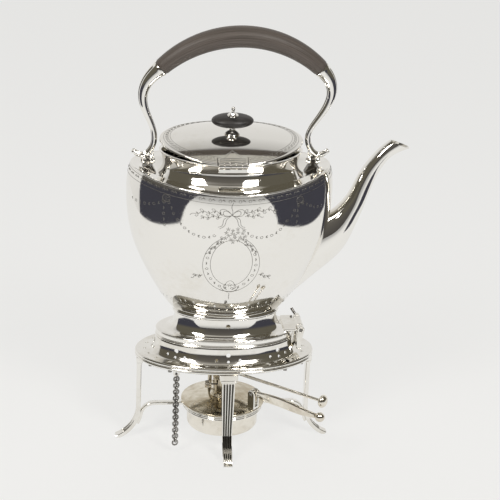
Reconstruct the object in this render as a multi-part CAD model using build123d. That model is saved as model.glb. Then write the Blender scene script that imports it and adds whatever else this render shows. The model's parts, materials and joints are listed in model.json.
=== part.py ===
from build123d import *
import os
from math import asin, atan2, cos, degrees, hypot, pi, radians, sin, sqrt

# An oval silver spirit kettle with a hinged lid and a swing bail, on a stand with a spirit lamp.
# Millimetres, +Z up, +X to the spout, -Y to the front, where the lid is hinged.
# Everything is laid out about the kettle's upright axis, and moved to the frame's origin at the end.

# --- stand -----------------------------------------------------------------------------------
PLATE_HALF_LENGTH = 69.0      # to the outside of the reeded rim
PLATE_HALF_DEPTH = 41.3
PLATE_UNDERSIDE = 70.2        # height of the rim's lower face
RIM_HEIGHT = 5.2
RIM_WIDTH = 3.4
SHEET = 1.0                   # gauge of the silver sheet
COVE_BASE = (57.5, 35.0)      # half length, half depth where the cove leaves the flange
COVE_TOP_Z = 87.3
FLAME_OPENING = (46.5, 24.5)
COVE_HOLE_R = 1.7
FLANGE_HOLE_R = 1.1
MOTIFS = 8                    # repeats of the pierced motif round the gallery

LEG_THICK = 3.2
LEG_TOP_WIDTH = 10.4
LEG_FOOT_WIDTH = 6.8
LEG_FLARE = 17.2              # how far the foot stands out from the shaft
LEG_FLARE_Z = 25.0            # where the shaft starts to curve
CAPITAL = (4.6, 13.8, 4.6)    # thickness, width, height
LEG_SIDE_INSET = 3.3          # leg centre in from the rim's outside, at the ends
LEG_FRONT_INSET = 2.4         # and at the front and back
FLUTES = 4
FLUTE_R = 0.75

RING_Z = 26.2
RING_HEIGHT = 4.2
RING_R = 31.2
RING_BORE_R = 28.1
STRAP_WIDTH = 5.0
STRAP_THICK = 2.2
STRAP_END_Z = 12.0            # lower end of a stretcher, on the leg
SIDE_BEND_R = 11.3
FRONT_BEND_R = 5.0
SCREW_R = 1.5
SCREWS = [(44, -29.5), (-44, -29.5), (44, 29.5), (-44, 29.5), (58, -18), (-58, -18), (-58, 18), (58, 18)]

# --- kettle ----------------------------------------------------------------------------------
FOOT_BAND = (53.7, 31.2)
FOOT_BAND_HEIGHT = 6.2
FOOT_TOP_Z = 108.0
WAIST = (39.0, 22.4)
SHOULDER_Z = 219.0            # shoulder edge at the front
SHOULDER_RISE = 7.0           # how much higher the edge is at the ends
SHOULDER_HALF_LENGTH = 74.0
BODY_FULLNESS = 1.85          # 2 is an ellipse, less is more pointed at the ends
# body stations: height, half length, half depth
BODY = [(FOOT_TOP_Z, 38.7, 22.2), (114.0, 44.0, 27.0), (122.0, 49.8, 32.2), (134.0, 57.2, 39.0),
        (148.0, 64.4, 45.4), (164.0, 71.2, 51.2), (184.0, 75.9, 55.2), (204.0, 77.3, 56.6),
        (219.0, 76.2, 55.8), (231.0, 72.0, 52.0)]
NECK = [(214.0, 55.6, 37.8), (218.4, 53.8, 36.0), (225.0, 50.6, 32.6), (231.0, 51.2, 33.0),
        (237.5, 53.4, 35.0)]
LEDGE_IN_Z = 217.6            # ledge where it meets the neck
LEDGE_IN = (54.4, 36.6)
LIP_Z = 233.8
LIP_RISE = 2.6
LIP = (52.4, 34.1)

LID_CLEAR = 0.3
LID_OVERHANG = 0.9
LID_CROWN_R = 80.0            # curve of the lid across its depth
LID_AJAR = 10.5               # the lid stands this far open at rest, degrees
HINGE_X = -1.8                # the hinge sits a little to the left of the middle
HINGE_Y = -36.6
HINGE_Z = 234.9
HINGE_R = 2.1
HINGE_WIDTH = 21.6
HINGE_PIN_R = 0.8
PIN_CLEAR = 0.06

PIVOT_Z = 227.5
PIVOT_X = 61.5
EAR_THICK = 3.0
EAR_R = 3.2
EAR_CLEAR = 0.3
CHEEK_THICK = 2.2
BAIL_PIN_R = 1.1

POUR_X = 57.2
POUR_Z = 94.8
POUR_HALF_WIDTH = 14.0
POUR_BARREL_R = 2.8
POUR_PIN_R = 1.3
POUR_GAP = 0.3
POUR_LEAF_END = 3.4           # how far from the axis the kettle's wide leaf stops

# --- bail ------------------------------------------------------------------------------------
GRIP_ARC_R = 84.5
GRIP_ARC_X = 5.7
GRIP_ARC_Z = 236.9
GRIP_HALF_ANGLE = 44.0
GRIP_MID = (16.0, 17.0)       # height and width of the wood at the middle
GRIP_END = (12.3, 12.5)
BAIL_LEAN = 0.115             # the arch leans towards the spout by this share of its height
BAIL_LEAN_FROM = 248.0

# --- lamp ------------------------------------------------------------------------------------
LAMP_SEAT = 0.3               # gap over the ring
RESERVOIR_R = 27.6
RESERVOIR_Z = 10.9
SAUCER_R = 32.5
SAUCER_THICK = 1.4
DOME_HEIGHT = 5.0
TUBE_R = 6.6
TUBE_TOP = 49.6
WICK_R = 3.4
CAP_R = 8.2
LEVER_AZ = -35.0
HANDLE_AZ = -41.7


def ring_points(half_length, half_depth, fullness, count=16):
    """Points of an oval that is an ellipse at fullness 2 and more pointed below it."""
    points = []
    for i in range(count):
        angle = 2 * pi * i / count
        c, s = cos(angle), sin(angle)
        points.append((half_length * (abs(c) ** (2 / fullness)) * (1 if c >= 0 else -1),
                       half_depth * (abs(s) ** (2 / fullness)) * (1 if s >= 0 else -1)))
    return points


def oval(z, half_length, half_depth, fullness=BODY_FULLNESS):
    outline = Spline(*[(x, y, z) for x, y in ring_points(half_length, half_depth, fullness)], periodic=True)
    return make_face(outline)


def ellipse(z, half_length, half_depth):
    return Pos(0, 0, z) * Ellipse(half_length, half_depth)


def oval_solid(stations, shrink=0.0, fullness=BODY_FULLNESS):
    return loft([oval(z, a - shrink, b - shrink, fullness) for z, a, b in stations])


def ellipse_solid(stations, shrink=0.0):
    return loft([ellipse(z, a - shrink, b - shrink) for z, a, b in stations])


def ellipse_disc(z, height, half_length, half_depth):
    return extrude(ellipse(z, half_length, half_depth), height)


def below_arc(z_middle, rise, half_length, floor_z=80.0, reach=95.0, depth=80.0):
    """The space under a long arc that runs in X and is z_middle high over the axis."""
    radius = (half_length ** 2 + rise ** 2) / (2 * rise)
    z_end = z_middle + radius - sqrt(radius ** 2 - reach ** 2)
    top = ThreePointArc((-reach, 0, z_end), (0, 0, z_middle), (reach, 0, z_end))
    sides = Polyline((reach, 0, z_end), (reach, 0, floor_z), (-reach, 0, floor_z), (-reach, 0, z_end))
    return extrude(make_face([top, sides]), depth, dir=(0, 1, 0), both=True)


def turned(profile):
    """A solid of revolution about the upright axis, from (radius, height) corners."""
    outline = Polyline(*[(r, 0, z) for r, z in profile], close=True)
    return revolve(make_face(outline), Axis.Z)


def rod(start, end, radius):
    start, end = Vector(*start), Vector(*end)
    plane = Plane(origin=start, z_dir=end - start)
    return extrude(plane * Circle(radius), (end - start).length)


# --- stand pieces ------------------------------------------------------------------------------
def rim_top():
    return PLATE_UNDERSIDE + RIM_HEIGHT


def gallery_outline():
    base_a, base_b = COVE_BASE
    foot_a, foot_b = FOOT_BAND
    top = COVE_TOP_Z
    low = rim_top()
    return [(low, base_a, base_b), (low + 3.2, base_a - 2.2, base_b - 2.2),
            (low + 7.0, foot_a + 0.2, foot_b + 0.2), (top, foot_a, foot_b)]


def gallery_holes():
    """Round holes: one large and two small in the cove, and three on the flange, per motif."""
    holes = []
    cove_z = rim_top() + 6.8
    flange_a = (COVE_BASE[0] + PLATE_HALF_LENGTH - RIM_WIDTH) / 2
    flange_b = (COVE_BASE[1] + PLATE_HALF_DEPTH - RIM_WIDTH) / 2
    step = 2 * pi / MOTIFS
    for i in range(MOTIFS):
        angle = -pi / 2 + i * step
        for offset, height, radius in ((0.0, cove_z, COVE_HOLE_R), (-0.16, cove_z - 3.6, FLANGE_HOLE_R),
                                       (0.16, cove_z - 3.6, FLANGE_HOLE_R)):
            x, y = COVE_BASE[0] * cos(angle + offset), COVE_BASE[1] * sin(angle + offset)
            nx, ny = x / COVE_BASE[0] ** 2, y / COVE_BASE[1] ** 2
            size = hypot(nx, ny)
            out = Vector(nx / size, ny / size, 0)
            centre = Vector(x, y, height)
            holes.append(rod(centre - out * 7, centre + out * 4, radius))
        for offset in (0.0, step / 2 - 0.12, step / 2 + 0.12):
            x, y = flange_a * cos(angle + offset), flange_b * sin(angle + offset)
            holes.append(rod((x, y, rim_top() - 2 * SHEET), (x, y, rim_top() + SHEET), FLANGE_HOLE_R))
    return holes


def cove_block():
    return ellipse_solid(gallery_outline())


def gallery_plate():
    low = rim_top()
    inner = [(z - (SHEET if z == low else 0), a, b) for z, a, b in gallery_outline()]
    wall = cove_block() - ellipse_solid(inner, SHEET)
    flange = ellipse_disc(low - SHEET, SHEET, PLATE_HALF_LENGTH - RIM_WIDTH, PLATE_HALF_DEPTH - RIM_WIDTH)
    flange -= ellipse_disc(low - SHEET, SHEET, COVE_BASE[0] - SHEET, COVE_BASE[1] - SHEET)
    seat = ellipse_disc(COVE_TOP_Z - SHEET, SHEET, FOOT_BAND[0] - SHEET / 2, FOOT_BAND[1] - SHEET / 2)
    seat -= ellipse_disc(COVE_TOP_Z - SHEET, SHEET, *FLAME_OPENING)
    return wall + flange + seat - gallery_holes()


def moulding(z, profile, half_length, half_depth):
    """An oval moulding in short straight bands, from (height, inset) corners of its profile."""
    return loft([ellipse(z + height, half_length - inset, half_depth - inset) for height, inset in profile],
                ruled=True)


def reed_profile(start, height, inset=0.0):
    """Corners of one half-round reed."""
    radius = height / 2
    corners = []
    for angle in (-82, -41, 0, 41, 82):
        turn = radians(angle)
        corners.append((start + radius + radius * sin(turn), inset + radius * (1 - cos(turn))))
    return corners


def plate_rim():
    """Two reeds, one over the other, round the gallery's edge."""
    reed = RIM_HEIGHT / 2
    profile = [(0, reed / 2)] + reed_profile(0, reed) + reed_profile(reed, reed) + [(RIM_HEIGHT, reed / 2)]
    rim = moulding(PLATE_UNDERSIDE, profile, PLATE_HALF_LENGTH, PLATE_HALF_DEPTH)
    return rim - ellipse_disc(PLATE_UNDERSIDE, RIM_HEIGHT, PLATE_HALF_LENGTH - RIM_WIDTH,
                              PLATE_HALF_DEPTH - RIM_WIDTH)


def rim_screws():
    """Nuts that hold the rim and the gallery, seen from below."""
    return [Pos(x, y, PLATE_UNDERSIDE - SCREW_R / 2) * Cylinder(SCREW_R, SCREW_R) for x, y in SCREWS]


def leg_flare_radius():
    return (LEG_FLARE ** 2 + LEG_FLARE_Z ** 2) / (2 * LEG_FLARE)


def leg_profile():
    """Side view of a leg in (out, z): a straight shaft, then an outward sweep to the foot."""
    half = LEG_THICK / 2
    top = PLATE_UNDERSIDE
    bend = leg_flare_radius()
    swing = atan2(LEG_FLARE_Z, bend - LEG_FLARE)

    def on_arc(radius, share):
        angle = swing * share
        return (bend - radius * cos(angle), 0, LEG_FLARE_Z - radius * sin(angle))

    outer, inner = bend - half, bend + half
    lines = [Line((-half, 0, top), (half, 0, top)), Line((half, 0, top), (half, 0, LEG_FLARE_Z)),
             ThreePointArc(on_arc(outer, 0), on_arc(outer, 0.5), on_arc(outer, 1)),
             Line(on_arc(outer, 1), on_arc(inner, 1)),
             ThreePointArc(on_arc(inner, 1), on_arc(inner, 0.5), on_arc(inner, 0)),
             Line((-half, 0, LEG_FLARE_Z), (-half, 0, top))]
    return make_face(lines), on_arc


def leg():
    """A leg that stands out along +X, with its shaft's centre line on the Z axis."""
    side, on_arc = leg_profile()
    strap = extrude(side, LEG_TOP_WIDTH, dir=(0, 1, 0), both=True)
    half_top, half_foot = LEG_TOP_WIDTH / 2, LEG_FOOT_WIDTH / 2
    taper = Polyline((0, -half_foot, -LEG_THICK), (0, half_foot, -LEG_THICK), (0, half_top, PLATE_UNDERSIDE),
                     (0, -half_top, PLATE_UNDERSIDE), close=True)
    strap &= extrude(make_face(taper), 2 * LEG_FLARE, dir=(1, 0, 0), both=True)
    strap &= Pos(0, 0, PLATE_UNDERSIDE / 2) * Box(4 * LEG_FLARE, 4 * LEG_TOP_WIDTH, PLATE_UNDERSIDE)
    thick, width, height = CAPITAL
    capital = Pos(0, 0, PLATE_UNDERSIDE - height / 2) * Box(thick, width, height)
    neck = Pos(0, 0, PLATE_UNDERSIDE - height * 1.25) * Box(thick * 0.86, width * 0.86, height / 2)
    outer = leg_flare_radius() - LEG_THICK / 2
    flute_top = PLATE_UNDERSIDE - height * 1.6
    spread = LEG_TOP_WIDTH / (FLUTES + 0.6)
    squeeze = LEG_FOOT_WIDTH / LEG_TOP_WIDTH
    for i in range(FLUTES):
        y = (i - (FLUTES - 1) / 2) * spread
        y_mid = y * (1 - (1 - squeeze) * (PLATE_UNDERSIDE - LEG_FLARE_Z) / PLATE_UNDERSIDE)
        end = Vector(*on_arc(outer, 0.78))
        middle = Vector(*on_arc(outer, 0.4))
        run = Line((LEG_THICK / 2, y, flute_top), (LEG_THICK / 2, y_mid, LEG_FLARE_Z))
        curve = ThreePointArc((LEG_THICK / 2, y_mid, LEG_FLARE_Z), (middle.X, y_mid, middle.Z),
                              (end.X, y_mid, end.Z))
        strap -= sweep(Plane(origin=run @ 0, z_dir=run % 0) * Circle(FLUTE_R), path=run)
        strap -= sweep(Plane(origin=curve @ 0, z_dir=curve % 0) * Circle(FLUTE_R), path=curve)
    return strap + capital + neck


def placed_leg(name):
    side_at = PLATE_HALF_LENGTH - LEG_SIDE_INSET
    front_at = PLATE_HALF_DEPTH - LEG_FRONT_INSET
    turn, reach = {"right": (0, side_at), "back": (90, front_at), "left": (180, side_at),
                   "front": (270, front_at)}[name]
    return Rot(0, 0, turn) * Pos(reach, 0, 0) * leg()


def stretcher(turn, leg_at, bend_r):
    """A strap from the lamp ring out to the leg, bent down to lie along the leg's inner face."""
    flare_r = leg_flare_radius()
    inner = flare_r + LEG_THICK / 2
    z_top = RING_Z + RING_HEIGHT / 2 + STRAP_THICK / 2
    join = asin((bend_r - z_top + LEG_FLARE_Z) / (bend_r + inner))
    end = asin((LEG_FLARE_Z - STRAP_END_Z) / inner)

    def on_leg(angle, thick=0.0):
        reach = inner + thick
        return (leg_at + flare_r - reach * cos(angle), 0, LEG_FLARE_Z - reach * sin(angle))

    x_bend = on_leg(join)[0] - bend_r * cos(join)

    def on_bend(angle, thick=0.0):
        reach = bend_r - thick
        return (x_bend + reach * cos(angle), 0, z_top - bend_r + reach * sin(angle))

    middle, half_way = (join + pi / 2) / 2, (join + end) / 2
    outline = [Line((RING_R - 1.0, 0, z_top), on_bend(pi / 2)),
               ThreePointArc(on_bend(pi / 2), on_bend(middle), on_bend(join)),
               ThreePointArc(on_leg(join), on_leg(half_way), on_leg(end)),
               Line(on_leg(end), on_leg(end, STRAP_THICK)),
               ThreePointArc(on_leg(end, STRAP_THICK), on_leg(half_way, STRAP_THICK), on_leg(join, STRAP_THICK)),
               ThreePointArc(on_bend(join, STRAP_THICK), on_bend(middle, STRAP_THICK),
                             on_bend(pi / 2, STRAP_THICK)),
               Line(on_bend(pi / 2, STRAP_THICK), (RING_R - 1.0, 0, z_top - STRAP_THICK)),
               Line((RING_R - 1.0, 0, z_top - STRAP_THICK), (RING_R - 1.0, 0, z_top))]
    strap = extrude(make_face(outline), STRAP_WIDTH / 2, dir=(0, 1, 0), both=True)
    return Rot(0, 0, turn) * (strap - Pos(0, 0, RING_Z + RING_HEIGHT / 2) * Cylinder(RING_R, RING_HEIGHT))


def lamp_ring():
    reed = RING_HEIGHT / 6
    corners = [(RING_BORE_R, RING_Z), (RING_R, RING_Z)]
    for i in range(3):
        corners += [(RING_R, RING_Z + (2 * i + 1.6) * reed), (RING_R - 0.5, RING_Z + (2 * i + 1.8) * reed)]
    corners[-2:] = [(RING_R, RING_Z + RING_HEIGHT)]
    corners += [(RING_BORE_R, RING_Z + RING_HEIGHT)]
    return turned(corners)


def pour_axis_rod(half_width, radius, y=0.0):
    return Pos(POUR_X, y, POUR_Z) * Rot(90, 0, 0) * Cylinder(radius, 2 * half_width)


def pour_middle():
    """Half width of the kettle's knuckle, between the bracket's two."""
    return POUR_HALF_WIDTH * 0.56


def pour_bracket():
    """Two knuckles on a leaf that leans out from the gallery's cove, open in the middle."""
    low, high = rim_top() + 4.0, POUR_Z - POUR_BARREL_R * 0.6
    inner, outer = FOOT_BAND[0] + 2 * POUR_GAP, POUR_X + POUR_BARREL_R * 0.8
    side = Polyline((inner, 0, high), (outer, 0, high), (COVE_BASE[0], 0, low), (inner, 0, low), close=True)
    leaf = extrude(make_face(side), POUR_HALF_WIDTH, dir=(0, 1, 0), both=True)
    bracket = leaf + pour_axis_rod(POUR_HALF_WIDTH, POUR_BARREL_R)
    window = Pos(POUR_X, 0, POUR_Z) * Box(20, 2 * (pour_middle() + POUR_GAP), 2 * (POUR_Z - low - 2.0))
    bracket -= window
    bracket -= pour_axis_rod(POUR_HALF_WIDTH + 1, POUR_PIN_R + PIN_CLEAR)
    return bracket - ellipse_disc(low, 30, FOOT_BAND[0] + POUR_GAP, FOOT_BAND[1] + POUR_GAP) - cove_block()


def pour_knuckle():
    """The kettle's leaf: it lies on the foot's flange and ends in the middle knuckle."""
    top = COVE_TOP_Z + FOOT_BAND_HEIGHT + SHEET / 2
    start, thick = WAIST[0] + 5.5, 1.6
    wide_end = POUR_X - POUR_LEAF_END
    leaf = Pos((start + wide_end) / 2, 0, top + thick / 2) * Box(wide_end - start, 2 * POUR_HALF_WIDTH, thick)
    leaf += Pos((wide_end + POUR_X) / 2, 0, top + thick / 2) * Box(POUR_LEAF_END + 0.2, 2 * pour_middle(), thick)
    leaf += pour_axis_rod(pour_middle(), POUR_BARREL_R)
    leaf -= pour_axis_rod(POUR_HALF_WIDTH + 1, POUR_PIN_R + PIN_CLEAR)
    return leaf - ellipse_solid(foot_stations())


def pour_pin():
    """The hinge pin, with the end that is bent up at the back to pull it out by."""
    end = POUR_HALF_WIDTH + 1.6
    pin = Pos(0, 0.8, 0) * pour_axis_rod(POUR_HALF_WIDTH + 0.8, POUR_PIN_R)
    tip = (POUR_X - 3.4, end + 3.2, POUR_Z + 4.6)
    return pin + Pos(POUR_X, end, POUR_Z) * Sphere(POUR_PIN_R) + rod((POUR_X, end, POUR_Z), tip, POUR_PIN_R - 0.2)


# --- kettle pieces -----------------------------------------------------------------------------
def body_block(shrink=0.0):
    stations = [(z + (shrink if i == 0 else 0), a, b) for i, (z, a, b) in enumerate(BODY)]
    return oval_solid(stations, shrink)


def ledge_dish(drop=0.0):
    reach = 71.5
    return loft([oval(LEDGE_IN_Z - drop, *LEDGE_IN), oval(LEDGE_IN_Z - drop + 9.0, reach, reach - 18.5)], ruled=True)


def under_ledge(drop=0.0):
    """The space under the ledge's top face, or under its lower face."""
    return below_arc(SHOULDER_Z - drop, SHOULDER_RISE, SHOULDER_HALF_LENGTH) - ledge_dish(drop)


def neck_block(shrink=0.0):
    return oval_solid(NECK, shrink, 1.95)


def strainer_holes():
    holes = []
    for row in range(5):
        for column in range(3):
            y = (column - 1) * 5.0 + (2.5 if row % 2 else 0)
            z = 146.0 + row * 5.0
            if abs(y) < 7:
                holes.append(rod((45, y, z), (85, y, z), 1.4))
    return holes


def kettle_body():
    wall = body_block() & under_ledge(SHEET)
    return wall - body_block(SHEET) - strainer_holes()


def shoulder_collar():
    ledge = (body_block() & under_ledge()) - under_ledge(SHEET)
    neck = (neck_block() & below_arc(LIP_Z, LIP_RISE, LIP[0])) - (neck_block() & under_ledge(SHEET))
    return ledge + neck - neck_block(SHEET)


def foot_stations():
    return [(94.0, 46.0, 27.6), (95.6, 42.6, 25.2), (100.0, 40.2, 23.4), (FOOT_TOP_Z, *WAIST)]


def kettle_foot():
    spool = ellipse_solid(foot_stations()) - ellipse_solid(
        [(z + (-0.2 if i == 0 else 0), a, b) for i, (z, a, b) in enumerate(foot_stations())], SHEET)
    band_top = COVE_TOP_Z + FOOT_BAND_HEIGHT
    bead = 1.5
    profile = reed_profile(0, bead) + [(bead, bead / 2), (FOOT_BAND_HEIGHT - bead, bead / 2 + 0.4)]
    profile += reed_profile(FOOT_BAND_HEIGHT - bead, bead, 0.4)
    band = moulding(COVE_TOP_Z, profile, *FOOT_BAND)
    band -= ellipse_disc(COVE_TOP_Z, FOOT_BAND_HEIGHT, FOOT_BAND[0] - 2 * SHEET, FOOT_BAND[1] - 2 * SHEET)
    flange = ellipse_disc(band_top - SHEET / 2, SHEET, FOOT_BAND[0] - 1.4, FOOT_BAND[1] - 1.4)
    flange -= ellipse_disc(band_top - SHEET / 2, SHEET, WAIST[0] + 5.0, WAIST[1] + 3.4)
    vents = [rod((0, -40, 102.4), (0, 0, 102.4), 1.7), rod((-44.8, -4, 90), (-44.8, -4, 97), 0.9)]
    return spool + band + flange - vents


def foot_bead():
    """A round moulding where the body meets its foot."""
    height = 3.4
    bead = moulding(FOOT_TOP_Z - 0.9, reed_profile(0, height), WAIST[0] + 1.9, WAIST[1] + 1.9)
    return bead - body_block() - ellipse_solid(foot_stations())


SPOUT = [  # upper edge x, z, lower edge x, z, and width of each section
    (48.0, 172.0, 50.4, 121.0, 22.0), (66.5, 182.5, 68.1, 137.6, 24.5), (76.5, 187.0, 83.4, 151.6, 23.5),
    (82.0, 191.4, 92.2, 165.0, 21.0), (86.4, 196.4, 97.4, 178.0, 18.4), (90.4, 202.6, 102.0, 190.2, 16.2),
    (94.0, 210.6, 106.4, 204.0, 14.4), (99.0, 220.6, 111.4, 216.6, 13.0), (105.4, 229.8, 117.0, 226.2, 12.4),
    (113.6, 238.8, 122.4, 231.6, 11.6), (124.0, 246.0, 129.4, 235.2, 10.8), (133.4, 249.2, 136.6, 237.8, 10.2)]


SPOUT_STEPS = 3               # sections drawn for each one in the table


def even_spline(points):
    """A curve that reaches each of its points at an even share of its parameter."""
    return Edge.make_spline([Vector(*p) for p in points], parameters=[i / (len(points) - 1) for i in range(len(points))])


def spout_block(shrink=0.0):
    upper = even_spline([(row[0], 0, row[1]) for row in SPOUT])
    lower = even_spline([(row[2], 0, row[3]) for row in SPOUT])
    widths = even_spline([(i, row[4], 0) for i, row in enumerate(SPOUT)])
    count = SPOUT_STEPS * (len(SPOUT) - 1)
    sections = []
    for i in range(count + 1):
        top, bottom, width = upper @ (i / count), lower @ (i / count), (widths @ (i / count)).Y
        up = top - bottom
        ring = ring_points(width / 2 - shrink, up.length / 2 - shrink, 2, 12)
        points = [(top + bottom) / 2 + Vector(0, across, 0) + up.normalized() * along for across, along in ring]
        sections.append(make_face(Spline(*points, periodic=True)))
    return loft(sections, ruled=True)


def spout():
    mouth = Polyline((112, 0, 246.2), (119.1, 0, 243.3), (134.0, 0, 237.0), (150, 0, 230), (150, 0, 262),
                     (112, 0, 262), close=True)
    trim = extrude(make_face(mouth), 20, dir=(0, 1, 0), both=True)
    return spout_block() - spout_block(SHEET) - body_block() - trim


def bail_lug(side):
    """An upright ear on the end of the ledge, with a cast foot that spreads towards the neck and the rim."""
    ear = Rot(0, 90, 0) * Cylinder(EAR_R, EAR_THICK)
    ear += Pos(0, 0, -EAR_R) * Box(EAR_THICK, 2 * EAR_R, 2 * EAR_R)
    top = -EAR_R - 2 * EAR_CLEAR
    foot = Polyline((-6.6, 0, top - 6), (-3.4, 0, top), (4.0, 0, top), (7.6, 0, top - 6), close=True)
    ear += extrude(make_face(foot), EAR_R, dir=(0, 1, 0), both=True)
    ear -= Rot(0, 90, 0) * Cylinder(BAIL_PIN_R, 2 * EAR_THICK)
    lug = Pos(side * PIVOT_X, 0, PIVOT_Z) * (ear if side > 0 else mirror(ear, Plane.YZ))
    return lug - (body_block() & under_ledge()) - neck_block()


def bail_pin(side):
    reach = EAR_THICK / 2 + EAR_CLEAR + CHEEK_THICK + EAR_CLEAR
    pin = Rot(0, 90, 0) * Cylinder(BAIL_PIN_R, 2 * reach)
    for end in (-1, 1):
        pin += Pos(end * (reach + 0.4), 0, 0) * Rot(0, 90, 0) * Cylinder(BAIL_PIN_R + 0.8, 0.8)
    return Pos(side * PIVOT_X, 0, PIVOT_Z) * pin


def hinge_rod(x, length, radius):
    """A round bar on the lid hinge's axis, x from the hinge's middle."""
    return Pos(HINGE_X + x, HINGE_Y, HINGE_Z) * Rot(0, 90, 0) * Cylinder(radius, length)


KNUCKLES = 5


def hinge_barrels(first, radius=HINGE_R, gap=0.3):
    """Every second knuckle, from the first one named."""
    width = HINGE_WIDTH / KNUCKLES
    return [hinge_rod((i - (KNUCKLES - 1) / 2) * width, width - gap, radius) for i in range(first, KNUCKLES, 2)]


def lid_hinge_leaf():
    """Fixed leaf: outer and middle knuckles over a short plate on the neck."""
    leaf = Pos(HINGE_X, HINGE_Y + 0.6, HINGE_Z - 3.0) * Box(HINGE_WIDTH - 0.3, 2.0, 4.4)
    leaf = leaf - hinge_barrels(1, HINGE_R + 0.35, 0) + hinge_barrels(0)
    leaf -= hinge_rod(0, 2 * HINGE_WIDTH, HINGE_PIN_R)
    return leaf - neck_block() - (body_block() & under_ledge())


# --- lid pieces --------------------------------------------------------------------------------
def lid_top_z():
    """Height of the lid's outside over the axis, closed."""
    return LIP_Z + LID_CLEAR + SHEET + LID_CROWN_R - sqrt(LID_CROWN_R ** 2 - LIP[1] ** 2)


def lid_plan(z, height, grow=0.0):
    return extrude(oval(z, LIP[0] + grow, LIP[1] + grow, 1.92), height)


def lid_shell(offset, thick):
    """A double-curved sheet: an arc across the depth, swung on a long arc through the ends."""
    top = lid_top_z() + offset
    drop_at_end = lid_top_z() - (LIP_Z + LIP_RISE + LID_CLEAR + SHEET)
    long_r = (LIP[0] ** 2 + drop_at_end ** 2) / (2 * drop_at_end)
    half = LIP[1] + 6
    inner_r, outer_r = LID_CROWN_R - thick + offset, LID_CROWN_R + offset
    centre = top - outer_r

    def at(radius, y):
        return (0, y, centre + sqrt(radius ** 2 - y ** 2))

    outline = [ThreePointArc(at(outer_r, -half), at(outer_r, 0), at(outer_r, half)),
               Line(at(outer_r, half), at(inner_r, half)),
               ThreePointArc(at(inner_r, half), at(inner_r, 0), at(inner_r, -half)),
               Line(at(inner_r, -half), at(outer_r, -half))]
    swing = 2 * degrees(atan2(LIP[0] + 8, long_r))
    axis = Axis((0, 0, top - long_r), (0, 1, 0))
    return revolve(make_face(outline).rotate(axis, -swing / 2), axis, swing)


def lid_dome():
    dome = lid_shell(0, SHEET) & lid_plan(LIP_Z - 5, 20, LID_OVERHANG)
    dome -= Pos(0, 0, lid_top_z()) * Cylinder(1.3 + PIN_CLEAR, 8)
    return dome - hinge_rod(0, HINGE_WIDTH, HINGE_R + 0.4)


def lid_hinge_plate():
    """Ogee-topped leaf on the lid, with the two moving knuckles."""
    half = HINGE_WIDTH / 2
    shoulder_y, tip_y = HINGE_Y + 7.2, HINGE_Y + 14.0
    front = HINGE_Y + 0.2
    outline = [Polyline((-half, shoulder_y), (-half, front), (half, front), (half, shoulder_y)),
               Spline((half, shoulder_y), (half * 0.5, shoulder_y + 2.0), (0, tip_y), tangents=((-1, 0), (-0.55, 1))),
               Spline((0, tip_y), (-half * 0.5, shoulder_y + 2.0), (-half, shoulder_y), tangents=((-0.55, -1), (-1, 0)))]
    plate = extrude(Pos(HINGE_X, 0, LIP_Z - 4) * make_face(outline), 22) & lid_shell(1.3, 1.3)
    plate = plate - hinge_barrels(0, HINGE_R + 0.35, 0) + hinge_barrels(1)
    return plate - hinge_rod(0, 2 * HINGE_WIDTH, HINGE_PIN_R + PIN_CLEAR)


FINIAL_BASE = [(0, 0), (5.9, 0), (6.2, 0.9), (4.6, 1.8), (2.6, 3.4), (2.4, 5.8), (3.6, 7.0), (0, 7.0)]
DISC_HALF = (15.6, 9.2, 4.0)
STUD_R = 1.3


def finial_base():
    base = turned(FINIAL_BASE) - Cylinder(STUD_R, 30)
    return Pos(0, 0, lid_top_z() - 0.05) * base - lid_shell(0, SHEET)


def disc_z():
    return lid_top_z() + FINIAL_BASE[-1][1] + DISC_HALF[2] - 0.75


def finial_disc():
    """A flat pebble of ebony, rounded over its edge."""
    a, b, h = DISC_HALF
    bands = []
    for turn in (-72, -50, -28, -9, 9, 28, 50, 72):
        spread = cos(radians(turn)) ** 0.8
        bands.append(ellipse(disc_z() + h * sin(radians(turn)) / sin(radians(72)), a * spread, b * spread))
    disc = loft(bands, ruled=True)
    disc -= Pos(0, 0, lid_top_z() - 0.05) * turned(FINIAL_BASE)
    return disc - Pos(0, 0, disc_z()) * Cylinder(STUD_R, 30)


def nut_z():
    return disc_z() + DISC_HALF[2]


def finial_nut():
    nut = turned([(0, 0), (4.2, 0), (4.0, 0.7), (2.2, 1.6), (1.2, 3.2), (1.0, 4.4), (0, 4.4)])
    nut += Pos(0, 0, 5.6) * Sphere(1.5)
    return Pos(0, 0, nut_z()) * (nut - Pos(0, 0, 0) * Cylinder(STUD_R * 0.7, 3.0))


def finial_stud():
    low = lid_top_z() - SHEET - 2.2
    stud = rod((0, 0, low), (0, 0, nut_z()), STUD_R)
    return stud + rod((0, 0, nut_z()), (0, 0, nut_z() + 1.5), STUD_R * 0.7)


def lid_washer():
    washer = Pos(0, 0, lid_top_z() - SHEET - 1.2) * Cylinder(4.0, 1.6) - lid_shell(0, SHEET)
    washer -= Pos(0, 0, lid_top_z()) * Cylinder(STUD_R, 20)
    keep = Pos(0, 0, lid_top_z() - SHEET - 5) * Box(20, 20, 10)
    return washer & keep


def ajar(part):
    return part.rotate(Axis((0, HINGE_Y, HINGE_Z), (1, 0, 0)), LID_AJAR)


# --- bail pieces -------------------------------------------------------------------------------
# arm stations: height, half span, thickness in the arch, width across it
ARM = [(290.0, 65.8, 9.6, 11.2), (280.0, 69.3, 7.6, 9.6), (269.2, 67.3, 6.0, 8.0),
       (258.5, 61.8, 4.8, 6.6), (247.0, 57.2, 4.4, 5.8), (237.4, 58.9, 4.4, 5.6), (231.8, 65.4, 4.2, 5.6),
       (235.2, 73.0, 2.6, 4.4)]


def arm_lean(z):
    return BAIL_LEAN * max(0.0, z - BAIL_LEAN_FROM)


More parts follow.
